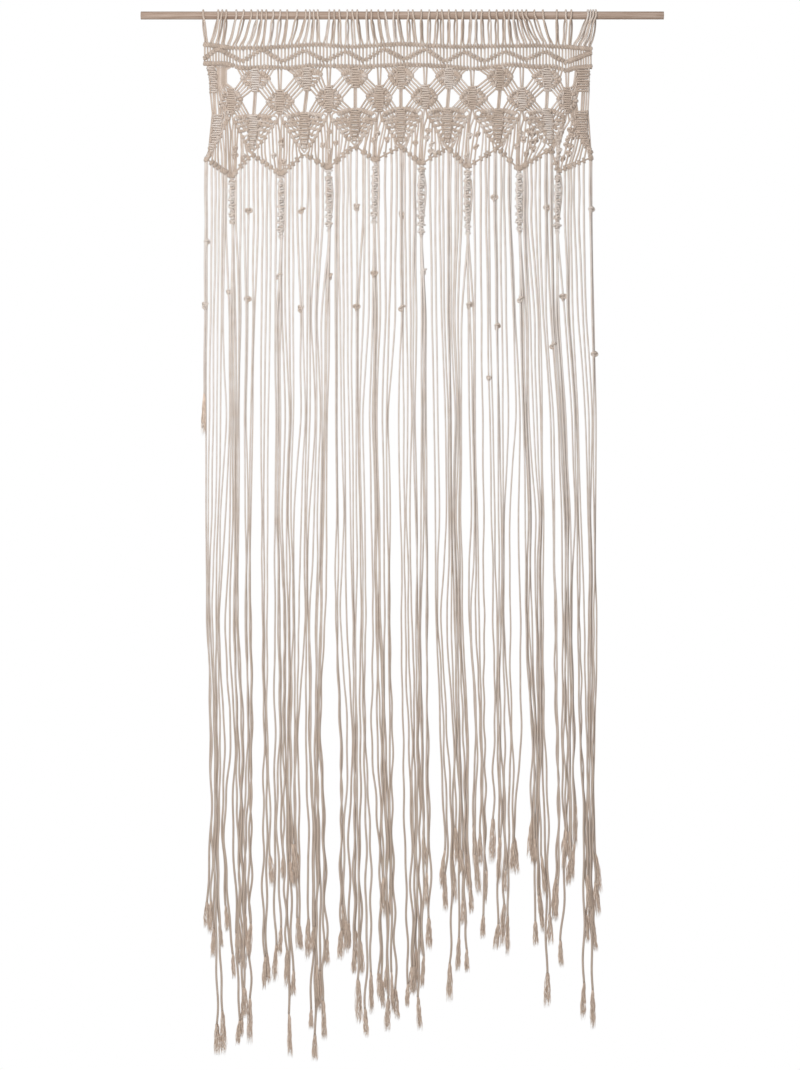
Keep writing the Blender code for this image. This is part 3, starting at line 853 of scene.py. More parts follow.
def fray_tree() -> Tree:
    """Make the tree that grows a tuft of unlaid fibres down from each point.

    Each point has its tuft's fall, half width and lean. The fibres leave in three plies that
    swell, turn and thin out to their tips.

    Returns:
        The tree.
    """
    tree, add, given = new_tree("frayed end at points", {
        "Fibres": "Int", "Steps": "Int", "Fibre Radius": "Float", "Sides": "Int", "Seed": "Int",
        "Material": "Material"})
    dots = add("GeometryNodeMeshToPoints", {"Mesh": given["Geometry"]})
    many = add("GeometryNodeDuplicateElements", {
        "Geometry": dots, "Amount": given["Fibres"]}, domain="POINT")
    ply = add(MATH, {0: many.outputs["Duplicate Index"], 1: 3.0}, operation="MODULO")
    # Each fibre's own place in its ply, its reach and its length as shares, and its crinkle.
    index = add("GeometryNodeInputIndex")
    seeds = [add(MATH, {0: given["Seed"], 1: float(step)}, operation="ADD") for step in range(4)]
    limits = ((-0.9, 0.9), (0.25, 1.0), (0.77, 1.0), (-1.0, 1.0))
    turned, slack, share, stray = (
        add("FunctionNodeRandomValue", {2: low, 3: high, "ID": index, "Seed": seed},
            data_type="FLOAT").outputs[1] for seed, (low, high) in zip(seeds, limits))
    phase = add(MATH, {0: ply, 1: 2 * math.pi / 3, 2: turned}, operation="MULTIPLY_ADD")
    geometry = many.outputs["Geometry"]
    for name, value in (("phase", phase), ("slack", slack), ("share", share), ("stray", stray)):
        geometry = add(STORE, {"Geometry": geometry, "Name": name, "Value": value},
                       data_type="FLOAT", domain="POINT")
    line = add("GeometryNodeCurvePrimitiveLine", {
        "Start": (0.0, 0.0, 0.0), "End": (0.0, 0.0, -1.0)})
    stepped = add("GeometryNodeResampleCurve", {"Curve": line, "Count": given["Steps"]})
    placed = add("GeometryNodeInstanceOnPoints", {"Points": geometry, "Instance": stepped})
    real = add("GeometryNodeRealizeInstances", {"Geometry": placed})
    along = add("GeometryNodeSplineParameter")
    read = {name: add(NAMED, {"Name": name}, data_type="FLOAT")
            for name in ("phase", "slack", "share", "stray", "fall", "width", "lean")}

    # The tuft is as wide as the cord at its top, and opens towards the tips like a brush.
    rise = add(MATH, {0: along, 1: 0.8}, operation="POWER")
    half_wave = add(MATH, {0: rise, 1: 0.47 * math.pi}, operation="MULTIPLY")
    swell = add(MATH, {0: half_wave}, operation="SINE")
    reach = add(MATH, {0: read["width"], 1: read["slack"]}, operation="MULTIPLY")
    opening = add(MAP_RANGE, {"Value": swell, "To Min": 0.36, "To Max": 1.0})
    out = add(MATH, {0: opening, 1: reach}, operation="MULTIPLY")
    angle = add(MATH, {0: along, 1: 1.6, 2: read["phase"]}, operation="MULTIPLY_ADD")
    cosine = add(MATH, {0: angle}, operation="COSINE")
    sine = add(MATH, {0: angle}, operation="SINE")
    side = add(MATH, {0: out, 1: cosine}, operation="MULTIPLY")
    depth = add(MATH, {0: out, 1: sine}, operation="MULTIPLY")
    # The crinkle that the twist leaves in each fibre.
    crimp_angle = add(MATH, {0: along, 1: 17.0, 2: read["stray"]}, operation="MULTIPLY_ADD")
    crimp = add(MATH, {0: crimp_angle}, operation="SINE")
    crimped = add(MATH, {0: crimp, 1: 0.6 * MM, 2: side}, operation="MULTIPLY_ADD")
    leaning = add(MATH, {0: read["lean"], 1: rise, 2: crimped}, operation="MULTIPLY_ADD")
    length = add(MATH, {0: read["fall"], 1: read["share"]}, operation="MULTIPLY")
    shorter = add(MATH, {0: 1.0, 1: length}, operation="SUBTRACT")
    up = add(MATH, {0: shorter, 1: along}, operation="MULTIPLY")
    offset = add("ShaderNodeCombineXYZ", {"X": leaning, "Y": depth, "Z": up})
    moved = add("GeometryNodeSetPosition", {"Geometry": real, "Offset": offset})
    thin = add(MAP_RANGE, {"Value": along, "From Min": 0.8, "From Max": 1.0,
                           "To Min": given["Fibre Radius"], "To Max": 0.003 * MM})
    end_tree(add, round_cord(add, moved, thin, given["Sides"]), given["Material"])
    return tree


@dataclass
class Workshop:
    """The node trees and materials that all the pieces share, and the way a piece is made."""

    cord: Tree = field(default_factory=cord_tree)
    turns: Tree = field(default_factory=turn_tree)
    fray: Tree = field(default_factory=fray_tree)
    cotton: bpy.types.Material = field(default_factory=lambda: CottonCord().build())
    fibre: bpy.types.Material = field(default_factory=lambda: LooseCotton().build())

    def grow(self, name: str, places: PlaceMesh, tree: Tree,
             inputs: Mapping[str, Any]) -> bpy.types.Object:
        """Grow a piece on its places and make it a plain mesh.

        Args:
            name: The piece's name.
            places: What the tree grows on.
            tree: The node tree.
            inputs: Values of the tree's inputs, by name.

        Returns:
            The piece, at the origin, with its place in its mesh.
        """
        places_mesh = places.build(name)
        piece = link(name, places_mesh)
        grower = piece.modifiers.new(tree.name, "NODES")
        grower.node_group = tree
        for item in tree.interface.items_tree:
            if item.in_out == "INPUT" and item.name in inputs:
                grower[item.identifier] = inputs[item.name]
        graph = bpy.context.evaluated_depsgraph_get()
        mesh = bpy.data.meshes.new_from_object(piece.evaluated_get(graph), depsgraph=graph,
                                               preserve_all_data_layers=True)
        piece.modifiers.remove(grower)
        piece.data = mesh
        mesh.name = name
        bpy.data.meshes.remove(places_mesh)
        kept = {"position", "UVMap", "tone", "sharp_face", "material_index"}
        for label in [a.name for a in mesh.attributes
                      if a.name not in kept and not a.name.startswith(".") and not a.is_internal]:
            mesh.attributes.remove(mesh.attributes[label])
        return piece

    def lay_cords(self, name: str, places: PlaceMesh, sides: int) -> bpy.types.Object:
        """Return a piece of cords laid along paths."""
        return self.grow(name, places, self.cord, {"Sides": sides, "Material": self.cotton})

    def tie_turns(self, name: str, places: PlaceMesh, turns: float, rise: float, radius: float,
                  cord: float, end_share: float = 1.0, steps: int = 7) -> bpy.types.Object:
        """Make a piece of turns of cord.

        Args:
            name: The piece's name.
            places: Where the turns go.
            turns: How many go together.
            rise: How far they climb, in millimetres.
            radius: Their radius in the middle.
            cord: The cord's own radius.
            end_share: Their radius at both ends, as a share of that in the middle.
            steps: Straight pieces in a turn.

        Returns:
            The piece.
        """
        return self.grow(name, places, self.turns, {
            "Turns": turns, "Steps": steps, "Turn Radius": radius * MM, "Rise": rise * MM,
            "End Share": end_share, "Cord Radius": cord * MM, "Sides": 5,
            "Material": self.cotton})


# ---- Where every string runs ----

# The slanting sides of the half kites at the left and the right side, from left to right.
LEFT_SLANT = ((-388, -281), (-349, -206))
RIGHT_SLANT = ((339, -208), (377, -274))


def edge_bends() -> list[Spot]:
    """Return the bends of the net's zigzag edge, left to right."""
    return sorted([*HIGHS, *((low.x, low.z) for low in LOWS)])


def member(index: int, first: int) -> tuple[int, int]:
    """Return the group that a string is in or just right of, and its place from the left there."""
    return divmod(index - first, REPEAT)


def rank_of(place: int) -> tuple[int, int]:
    """Return the side, -1 or 1, and the rank from the middle, 0 to 5, of a place in a group."""
    offset = place - (GROUP - 1) / 2
    return (-1 if offset < 0 else 1), int(abs(offset) - 0.5)


@dataclass(frozen=True)
class StringPlan:
    """The way of each string through the net, and below it to its end.

    Strings that cross over inside a kite leave the net in each other's places, so that the places
    along the edge are numbered from the left as well.
    """

    # Where the rows of hitches begin and end.
    row_left: float = -395.0
    row_right: float = 377.0
    # In a gathered bundle, how far from its middle the innermost pair of strings runs, and where
    # the ranks outside it run.
    pair: float = 1.8
    core_inner: float = 3.0
    core_step: float = 1.5
    # In a diamond, how far from its middle the innermost slanting string bends, how far inside
    # the corner the outermost one does, and how far each bends from the corner and the ends.
    bend_inner: float = 7.0
    corner_inset: float = 3.5
    corner_gap: float = 1.2
    top_gap: float = 4.0
    foot_gap: float = 6.0
    # How far a kite's tip stays above the edge.
    tip_gap: float = 5.0
    # From the foot of the diamond beside a kite, in and up, to the kite's corner and to the end
    # of the cord over it.
    corner_offset: Spot = (8.5, -14.0)
    roof_offset: Spot = (6.0, -6.0)
    # In a kite, how far from its middle the first string comes over the roof, how far the roof's
    # first hitch is, and how far on the last ones are.
    roof_string: float = 9.0
    roof_first: float = 11.0
    roof_reach: float = 22.0
    # From each row of hitches inside a kite to the next, in and up, and how near they come to the
    # kite's middle and to its roof.
    inner_step: Spot = (8.0, 2.2)
    middle_gap: float = 12.5
    under_roof: float = 5.0
    # x of the strings gathered in the knots of the left and the right side.
    left_column: tuple[float, ...] = (-383.5, -378.0, -375.0, -370.0)
    right_column: tuple[float, ...] = (360.0, 364.0, 368.5, 373.0)
    # How far apart a sinnet's strings leave the edge, and how far from its middle they run down.
    sinnet_step: float = 3.2
    sinnet_core: float = 1.1
    # How far before or behind the rest every other free string hangs, and how much one leans.
    layer: float = 1.8
    lean: float = 0.07
    seed: int = 7

    def row_x(self, index: float) -> float:
        """Tell where a string passes the rows of hitches.

        Args:
            index: The string.

        Returns:
            x.
        """
        columns = [FIRST_SINNET + (SINNET_STRINGS - 1) / 2 + REPEAT * k for k in range(len(LOWER))]
        return float(np.interp(index, [0, *columns, STRINGS - 1],
                               [self.row_left, *(one.x for one in LOWER), self.row_right]))

    def core(self, side: int, rank: int) -> float:
        """Return how far from the middle of a gathered bundle a string runs."""
        return side * (self.core_inner + self.core_step * rank)

    def outline(self, diamond: Diamond, side: int, rank: int) -> list[Spot]:
        """Return where a string comes into a knotted diamond and where it leaves it.

        The outermost strings pass at the corners and the innermost near the diamond's ends.

        Args:
            diamond: The diamond.
            side: -1 for the left, 1 for the right.
            rank: The string's rank in its half, from 1 to 5.

        Returns:
            x and z of both bends.
        """
        corner_x, corner_z = diamond.left if side < 0 else diamond.right
        share = (rank - 1) / 4
        inner = diamond.x + side * self.bend_inner
        x = inner + share * (corner_x - side * self.corner_inset - inner)
        return [(x, height + share * (corner_z + gap - height)) for height, gap in
                ((diamond.top - self.top_gap, self.corner_gap),
                 (diamond.bottom + self.foot_gap, -self.corner_gap))]

    def outline_ties(self, diamond: Diamond, side: int) -> list[Spot]:
        """Place the hitches down one side of a diamond.

        Args:
            diamond: The diamond.
            side: -1 for the left, 1 for the right.

        Returns:
            x and z of each, from the top down.
        """
        *ways, corner = (self.outline(diamond, side, rank) for rank in (2, 3, 4, 5))
        corner_x, corner_z = corner[0]
        return [*(way[0] for way in ways), (corner_x, corner_z - self.corner_gap),
                *(way[1] for way in reversed(ways))]

    def through(self, diamond: Diamond, place: int) -> list[Point]:
        """Lead a string through a knotted diamond.

        Args:
            diamond: The diamond.
            place: The string's place in it, from 0 to 11.

        Returns:
            The bends.
        """
        side, rank = rank_of(place)
        if rank == 0:
            return upright([(diamond.x + side * self.pair, z)
                            for z in (diamond.top, diamond.bottom)], 0.6)
        (x, in_z), (_, out_z) = self.outline(diamond, side, rank)
        core = diamond.x + self.core(side, rank)
        y = 0.8 if rank % 2 else -0.8
        return [(x, 0.0, in_z), (core, y, in_z - 0.8), (core, y, out_z + 0.8), (x, 0.0, out_z)]

    def tip(self, kite: int) -> Spot:
        """Return x and z of a kite's tip."""
        x, z = HIGHS[kite + 1]
        return x, z + self.tip_gap

    def beside(self, kite: int, side: int, offset: Spot) -> Spot:
        """Return the place at an offset, in and up, from the foot of the diamond beside a kite."""
        near = LOWER[kite + (side > 0)]
        return near.x - side * offset[0], near.bottom + offset[1]

    def roof(self, kite: int, side: int) -> list[Spot]:
        """Return the bends of the cord over a kite, from its middle to one corner."""
        x, z = KITE_TOPS[kite]
        return [(x + side * self.roof_string, z - 1.5), self.beside(kite, side, self.roof_offset)]

    def roof_height(self, kite: int, side: int, x: float) -> float:
        """Return the height, at x, of the cord over a kite."""
        return height_on(self.roof(kite, side)[::side], x)

    def middle_x(self, kite: int, z: float) -> float:
        """Return x of a kite's middle line at a height."""
        (top_x, top_z), (tip_x, tip_z) = KITE_TOPS[kite], self.tip(kite)
        return top_x + (tip_x - top_x) * (top_z - z) / (top_z - tip_z)

    def side_place(self, kite: int, place: int) -> Spot:
        """Tell where a place on the slanting side of a kite is.

        Args:
            kite: The kite, which is -1 or 7 for the half kites at the curtain's sides.
            place: The place, from 0 at the left to 11.

        Returns:
            x and z.
        """
        if kite < 0:
            return between(*LEFT_SLANT, (place - 3) / 8)
        if kite >= len(KITE_TOPS):
            return between(*RIGHT_SLANT, place / 8)
        side, rank = rank_of(place)
        tip_x, tip_z = self.tip(kite)
        corner_x, corner_z = self.beside(kite, side, self.corner_offset)
        # The strings stand evenly between the tip and the corner, the first a quarter of the way.
        out = (10 + 6 * rank) / 40
        return (tip_x + (corner_x - tip_x) * out,
                tip_z + (corner_z - tip_z) * height_on(KITE_SIDE, out))

    def inner_ties(self, kite: int, side: int) -> list[list[Spot]]:
        """Place the hitches inside one half of a kite.

        Args:
            kite: The kite.
            side: -1 for the left half, 1 for the right one.

        Returns:
            Rows of places, each row further from the kite's slanting side.
        """
        rows = []
        for step in (1, 2, 3):
            row = []
            for rank in range(HALF):
                x, z = self.side_place(kite, HALF + rank if side > 0 else HALF - 1 - rank)
                x, z = x - side * self.inner_step[0] * step, z + self.inner_step[1] * step
                inside = (x - self.middle_x(kite, z)) * side > self.middle_gap
                if inside and z < self.roof_height(kite, side, x) - self.under_roof:
                    row.append((x, z))
            rows.append(row)
        return [row for row in rows if len(row) > 1]

    def roof_ties(self, kite: int, side: int) -> list[Spot]:
        """Place the hitches on the cord over a kite.

        Args:
            kite: The kite.
            side: -1 for the left half, 1 for the right one.

        Returns:
            x and z of each, from the middle out.
        """
        places = [KITE_TOPS[kite][0] + side * (self.roof_first + self.roof_reach * share)
                  for share in (0, 0.25, 0.5, 0.75, 1)]
        return [(x, self.roof_height(kite, side, x)) for x in places]

    def edge_x(self, index: int) -> float:
        """Tell where a string leaves the zigzag edge.

        Args:
            index: The string.

        Returns:
            x. The four strings of a sinnet are gathered at the edge's low point.
        """
        column, place = member(index, FIRST_SINNET)
        if 0 <= column < len(LOWS) and place < SINNET_STRINGS:
            return LOWS[column].x + self.sinnet_step * (place - (SINNET_STRINGS - 1) / 2)
        # The others hang straight down from it.
        return group_places(LEVELS[0])[index]

    def left_string(self, place: int) -> list[Point]:
        """Lead a string past the upper diamonds at the curtain's left side.

        Args:
            place: The string, from 0 at the left.

        Returns:
            The bends.
        """
        knotted = len(self.left_column)
        if place >= knotted:
            x = -369 + 2.8 * (place - knotted)
            return upright([(x, -108), (x, -136)])
        x = self.left_column[place]
        return upright([(x, -106), (x, -156), (x + (4.0, 2.0, 2.0, 4.0)[place], -196)])

    def right_string(self, place: int) -> list[Point]:
        """Lead a string past the upper diamonds at the curtain's right side.

        Args:
            place: The string, from 0 at the left of them.

        Returns:
            The bends.
        """
        loose = 5
        if place < loose:
            x = 343 + 3.0 * place
            return upright([(x + 4, -108), (x, -138)])
        x = self.right_column[place - loose]
        return upright([(x, -108), (x, -152), (x - 2.0, -190)])

    def kite_string(self, kite: int, place: int, gone: Spot) -> list[Point]:
        """Lead a string through a kite.

        The string comes in over the roof, slants down to the core behind the others, and runs
        out level to its hitch, which is the nearer to the kite's tip the lower it came in.

        Args:
            kite: The kite.
            place: The string's place in it, from 0 to 11.
            gone: x and z of its hitch.

        Returns:
            The bends.
        """
        # How far a string sinks for each millimetre that it comes in, and how near the middle.
        slant, near = 1.25, 11.5
        # How far above its hitch it leaves the core, and how far it runs down there at least.
        above, shortest = 3.5, 6
        side, rank = rank_of(place)
        top_x, top_z = KITE_TOPS[kite]
        if rank:
            out = self.roof_string + self.roof_reach * (rank - 1) / 4
            roof_x = top_x + side * out
            roof_z = self.roof_height(kite, side, roof_x)
            enter_z = roof_z - max(0.0, out - self.roof_first) * slant - 2
            bends = [(roof_x, 1.4, roof_z), (top_x + side * min(out, near), 1.4, enter_z)]
        else:
            enter_z = top_z - 4.0
            bends = [(top_x + side * self.pair, 0.6, top_z)]
        core = self.core(side, rank)
        bends.append((top_x + core, 0.8, enter_z - 2))
        leave_z = min(enter_z - shortest, gone[1] + above)
        middle = self.middle_x(kite, leave_z)
        core = side * min(abs(core), max(1.5, abs(gone[0] - middle) - 4))
        return [*bends, (middle + core, 0.4, leave_z + 1.5),
                (middle + core + side * 4, -1.4, leave_z)]

    def net_path(self, index: int, chance: random.Random) -> list[Point]:
        """Lead a string from the first row of hitches to the edge.

        Args:
            index: The string.
            chance: The source of small differences.

        Returns:
            The bends.
        """
        x = self.row_x(index)
        y = 0.5 if index % 2 else -0.5
        bends = [(x, y, height_on(row, x)) for row in (FIRST_ROW, ZIGZAG_ROW, LAST_ROW)]
        kite, place = member(index, FIRST_UPPER)
        if kite < 0:
            bends += self.left_string(index)
        elif kite >= len(UPPER):
            bends += self.right_string(place)
        elif place < GROUP:
            bends += self.through(UPPER[kite], place)
        column, spot = member(index, FIRST_LOWER)
        if 0 <= column < len(LOWER) and spot < GROUP:
            bends += self.through(LOWER[column], spot)
        leaves = index
        if place >= GROUP:
            # Two strings hang straight from each lower diamond, and draw together on their way.
            foot, low, half = LOWER[column], LOWS[column], spot - (GROUP - 1) / 2
            bends += [(foot.x + 8.0 * half, 0.0, foot.bottom - 13),
                      ((foot.x + low.x) / 2 + 3.2 * half, 0.0, foot.bottom - 32),
                      (low.x + chance.uniform(-1, 1) + 4.0 * half, 0.0, foot.bottom - 62)]
        else:
            gone = self.side_place(kite, place)
            if 0 <= kite < len(KITE_TOPS):
                # Each half's strings leave in the turned order of their coming in.
                turned = (HALF if place < HALF else 3 * HALF) - 1 - place
                leaves = index - place + turned
                gone = self.side_place(kite, turned)
                bends += self.kite_string(kite, place, gone)
            bends += [(gone[0], -0.8, gone[1]),
                      (gone[0] + chance.uniform(-1, 1), 0.0, gone[1] - 9)]
        x = self.edge_x(leaves)
        z = height_on(edge_bends(), x)
        last_x, _, last_z = bends[-1]
        # A long way down to the edge has a bend halfway.
        if last_z - z > 30:
            bends.append(((last_x + x) / 2 + chance.uniform(-1.8, 1.8), 0.0, (last_z + z) / 2))
        bends.append((x, 0.0, z))
        return bends

    def hanging_rows(self) -> list[tuple[float, list[float]]]:
        """Work out where the free strings hang, so that none leans more than it can.

        Returns:
            The height of each level, and x of the strings there. The one short string at the
            left is missing from the lower levels.
        """
        rows = [(level.z, group_places(level)) for level in LEVELS]
        for index, (x, drop) in enumerate(ENDS):
            z = -drop
            for height, row in reversed(rows):
                here = index - STRINGS + len(row)
                if height > z and here >= 0:
                    reach = self.lean * (height - z)
                    x = row[here] = min(max(row[here], x - reach), x + reach)
                    z = height
        return rows

    def string_paths(self) -> list[list[Point]]:
        """Lead each free string from the edge to its end.

        Returns:
            The stops of every string, from left to right.
        """
        chance = random.Random(self.seed)
        rows = self.hanging_rows()
        # How far below the edge a sinnet's strings have come together, and the others hang apart.
        gathered, parted = 12, 14
        # A string stops at each level that is so far below its last stop and above its end.
        below_stop, above_end = 45, 60
        # How long a bend is that the coil has left in a string's last part.
        coil_bend = 70
        paths: list[list[Point]] = []
        for index, (end_x, drop) in enumerate(ENDS):
            x = self.edge_x(index)
            y = -self.layer if index % 2 == 0 else self.layer
            z = height_on(edge_bends(), x)
            stops = [(x, 0.0, z)]
            column, place = member(index, FIRST_SINNET)
            if 0 <= column < len(LOWS) and place < SINNET_STRINGS:
                low = LOWS[column]
                turn = math.pi / 4 + place * math.pi / 2
                across, deep = self.sinnet_core * math.cos(turn), self.sinnet_core * math.sin(turn)
                stops += [(low.x + across, deep, z - gathered),
                          (low.sinnet_x + across, deep, low.sinnet_bottom)]
            else:
                stops.append((x + chance.uniform(-0.5, 0.5), y * 0.4, z - parted))
            for height, row in rows:
                last_x, _, last_z = stops[-1]
                if last_z - below_stop > height > above_end - drop:
                    x = row[index - STRINGS + len(row)]
                    sway = 1.2 if height > -1100 else 2.4
                    stops += [((last_x + x) / 2 + chance.uniform(-sway, sway), y,
                               (last_z + height) / 2),
                              (x + chance.uniform(-0.4, 0.4), y, height)]
            last_x, _, last_z = stops[-1]
            bends = max(1, round((drop + last_z) / coil_bend))
            for share in (step / bends for step in range(1, bends)):
                stops.append((last_x + (end_x - last_x) * share + chance.uniform(-2.6, 2.6),
                              y + chance.uniform(-1, 1), last_z - (drop + last_z) * share))
            stops.append((end_x, y, -float(drop)))
            paths.append(stops)
        return paths


# ---- Sub-assemblies ----


@dataclass
class Dowel:
    """The plain round rod, with sawn ends whose edges are just broken."""

    length: float = 1046.0
    radius: float = 8.0
    broken_edge: float = 0.6
    sides: int = 64
    # How many rings of points lie between the ends, so that light can grade along the rod.
    rings: int = 51
    finish: SandedBeech = SandedBeech()

    def profile(self) -> list[Spot]:
        """Lay out the rings of points.

        Returns:
            x and radius of each ring, from the left end's face to the right one's.
        """
        half, edge = self.length / 2, self.broken_edge
        left = [(-half, self.radius * 0.5), (-half, self.radius - edge),
                (-half + edge * 0.3, self.radius - edge * 0.3), (-half + edge, self.radius)]
        inside = np.linspace(-half + edge, half - edge, self.rings + 2)[1:-1]
        return [*left, *((x, self.radius) for x in inside), *((-x, r) for x, r in reversed(left))]

    def build(self) -> bpy.types.Object:
        """Make the rod.

        Returns:
            The piece.
        """
        bm = bmesh.new()
        angles = np.linspace(0, 2 * math.pi, self.sides, endpoint=False)
        rings = [[bm.verts.new(Vector((x, radius * math.cos(a), radius * math.sin(a))) * MM)
                  for a in angles] for x, radius in self.profile()]
        for ring, following in zip(rings, rings[1:]):
            turned = (following[1:] + following[:1], ring[1:] + ring[:1])
            for corners in zip(ring, following, *turned):
                bm.faces.new(corners)
        for ring, x in ((rings[0], -self.length / 2), (rings[-1], self.length / 2)):
            hub = bm.verts.new(Vector((x, 0, 0)) * MM)
            for first, second in zip(ring, ring[1:] + ring[:1]):
                bm.faces.new((first, second, hub))
        bmesh.ops.recalc_face_normals(bm, faces=bm.faces)
        mesh = bpy.data.meshes.new("rod_dowel")
        bm.to_mesh(mesh)
        bm.free()
        rod = link("rod_dowel", mesh)
        mesh.materials.append(self.finish.build())
        mesh.shade_smooth()
        mesh.set_sharp_from_angle(angle=math.radians(35))
        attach(rod, "root")
        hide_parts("rod")
        return rod


@dataclass
class Heading:
    """The loops of cord over the rod, one for each pair of strings."""

    plan: StringPlan
    rod_radius: float = 8.0
    radius: float = 1.85
    clearance: float = 0.15
    # How far a loop stands off the top of the rod, because the cord is stiff.
    slack: float = 0.7
    seed: int = 21

    def stops(self, legs: Sequence[int], seat: float, chance: random.Random) -> list[Point]:
        """Lead a loop up in front of the rod, over it and down behind it.

        Args:
            legs: The two strings that it becomes, the front one first.
            seat: x of its top.
            chance: The source of small differences.

        Returns:
            The stops.
        """
        front, back = (self.plan.row_x(leg) for leg in legs)
        middle = (front + back) / 2
        apart = math.copysign(chance.uniform(1.3, 2.4), front - back)
        skew = chance.uniform(-0.8, 0.8)
        reach = self.rod_radius + self.radius + self.clearance
        # x just below the rod, near the seat, and further down, nearer to the two strings.
        beside, knee = (seat + (middle - seat) * share for share in (0.2, 0.72))
        sides = []
        for foot, way in ((front, -1), (back, 1)):
            z = height_on(FIRST_ROW, foot)
            sides.append([(foot, 0.8 * way, z + 1),
                          (middle + (foot - middle) * 0.75, 1.6 * way, z + 6),
                          (knee - apart * way, 2.4 * way, z + 17),
                          (beside - apart * way, reach * way, -14.0),
                          (seat - skew * way, reach * way, 0.0)])
        over = []
        for degrees in (145, 118, 90, 62, 35):
            angle = math.radians(degrees)
            lift = reach + self.slack * math.sin(angle)
            over.append((seat, lift * math.cos(angle), lift * math.sin(angle)))
        return [*sides[0], *over, *reversed(sides[1])]

    def build(self, shop: Workshop) -> bpy.types.Object:
        """Make the loops.

        Args:
            shop: Makes the cords.

        Returns:
            The piece.
        """
        chance = random.Random(self.seed)
        seats = [x for first, last, count in LOOP_RUNS for x in spread(first, last, count)]
        places = PlaceMesh()
        for number, seat in enumerate(seats):
            # Either leg of the cord may be the one that passes in front of the rod.
            legs = [2 * number, 2 * number + 1]
            if chance.random() < 0.5:
                legs.reverse()
            path = smooth_path(self.stops(legs, seat, chance), 4.0)
            places.add_cord(path, chance.random(), self.radius)
        loops = shop.lay_cords("heading_loops_of_cord", places, 8)
        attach(loops, "root")
        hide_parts("heading_loops")
        return loops


@dataclass
class HitchRows:
    """Double half hitches side by side on the leader cords: the rows and the slanting lines."""

    plan: StringPlan
    # The rows and the edge are drawn a little darker, as painted shade among their packed hitches,
    # and the edge's hitches are bulkier.
    painted_row_shade: float = 0.45
    edge_bulk: float = 1.2
    seed: int = 5

    def rows(self) -> list[list[Spot]]:
        """Place the hitches that run across the whole curtain.

        Returns:
            x and z of the hitches of the three rows and of the edge, from left to right.
        """
        row_x = [self.plan.row_x(index) for index in range(STRINGS)]
        edge_x = [self.plan.edge_x(index) for index in range(STRINGS)]
        rows = ((FIRST_ROW, row_x), (ZIGZAG_ROW, row_x), (LAST_ROW, row_x), (edge_bends(), edge_x))
        return [[(x, height_on(bends, x)) for x in places] for bends, places in rows]

    def half_kites(self) -> list[list[Spot]]:
        """Return the places of the hitches of the half kites at the left and the right side."""
        return [[self.plan.side_place(-1, place) for place in range(3, GROUP)],
                [self.plan.side_place(len(KITE_TOPS), place) for place in range(9)]]

    def kite_sides(self) -> list[list[Spot]]:
        """Return the places of the hitches of each kite's left and right slanting side."""
        return [[self.plan.side_place(kite, place) for place in range(first, first + HALF)]
                for kite in range(len(KITE_TOPS)) for first in (0, HALF)]

    def inner_lines(self) -> list[list[Spot]]:
        """Place the hitches round the diamonds, and over and inside the kites.

        Returns:
            x and z of the hitches of each line.
        """
        lines = []
        for side in (-1, 1):
            lines += [self.plan.outline_ties(diamond, side) for diamond in (*UPPER, *LOWER)]
            for kite in range(len(KITE_TOPS)):
                lines += [self.plan.roof_ties(kite, side), *self.plan.inner_ties(kite, side)]
        return lines

    def build(self, shop: Workshop) -> bpy.types.Object:
        """Make the hitches.

        Args:
            shop: Makes the cords.

        Returns:
            The piece.
        """
        chance = random.Random(self.seed)
        *rows, edge = self.rows()
        slanting = (*self.half_kites(), *self.kite_sides(), *self.inner_lines())
        lines = [*((row, self.painted_row_shade, 1.0) for row in rows), (edge, self.painted_row_shade, self.edge_bulk),
                 *((line, 0.0, 1.0) for line in slanting)]
        places = PlaceMesh()
        for line, painted_row_shade, bulk in lines:
            path = np.array(upright(line))
            for index, (x, _, z) in enumerate(path):
                ahead = path[min(index + 1, len(path) - 1)] - path[max(index - 1, 0)]
                turn = Vector(ahead).normalized().to_track_quat("Z", "Y").to_euler()
                size = bulk * chance.uniform(0.94, 1.1)
                # A lower tone paints shade on the hitches of the rows and the edge.
                places.add_place(
                    (x, chance.uniform(-0.5, 0.5), z + chance.uniform(-0.5, 0.5)),
                    turn=tuple(turn), tone=chance.random() - painted_row_shade,
                    stretch=(size, size, chance.uniform(0.92, 1.08)))
        hitches = shop.tie_turns("hitch_rows", places, turns=2.0, rise=5.0,
                                 radius=3.8, end_share=0.66, cord=1.75)
        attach(hitches, "root")
        return hitches


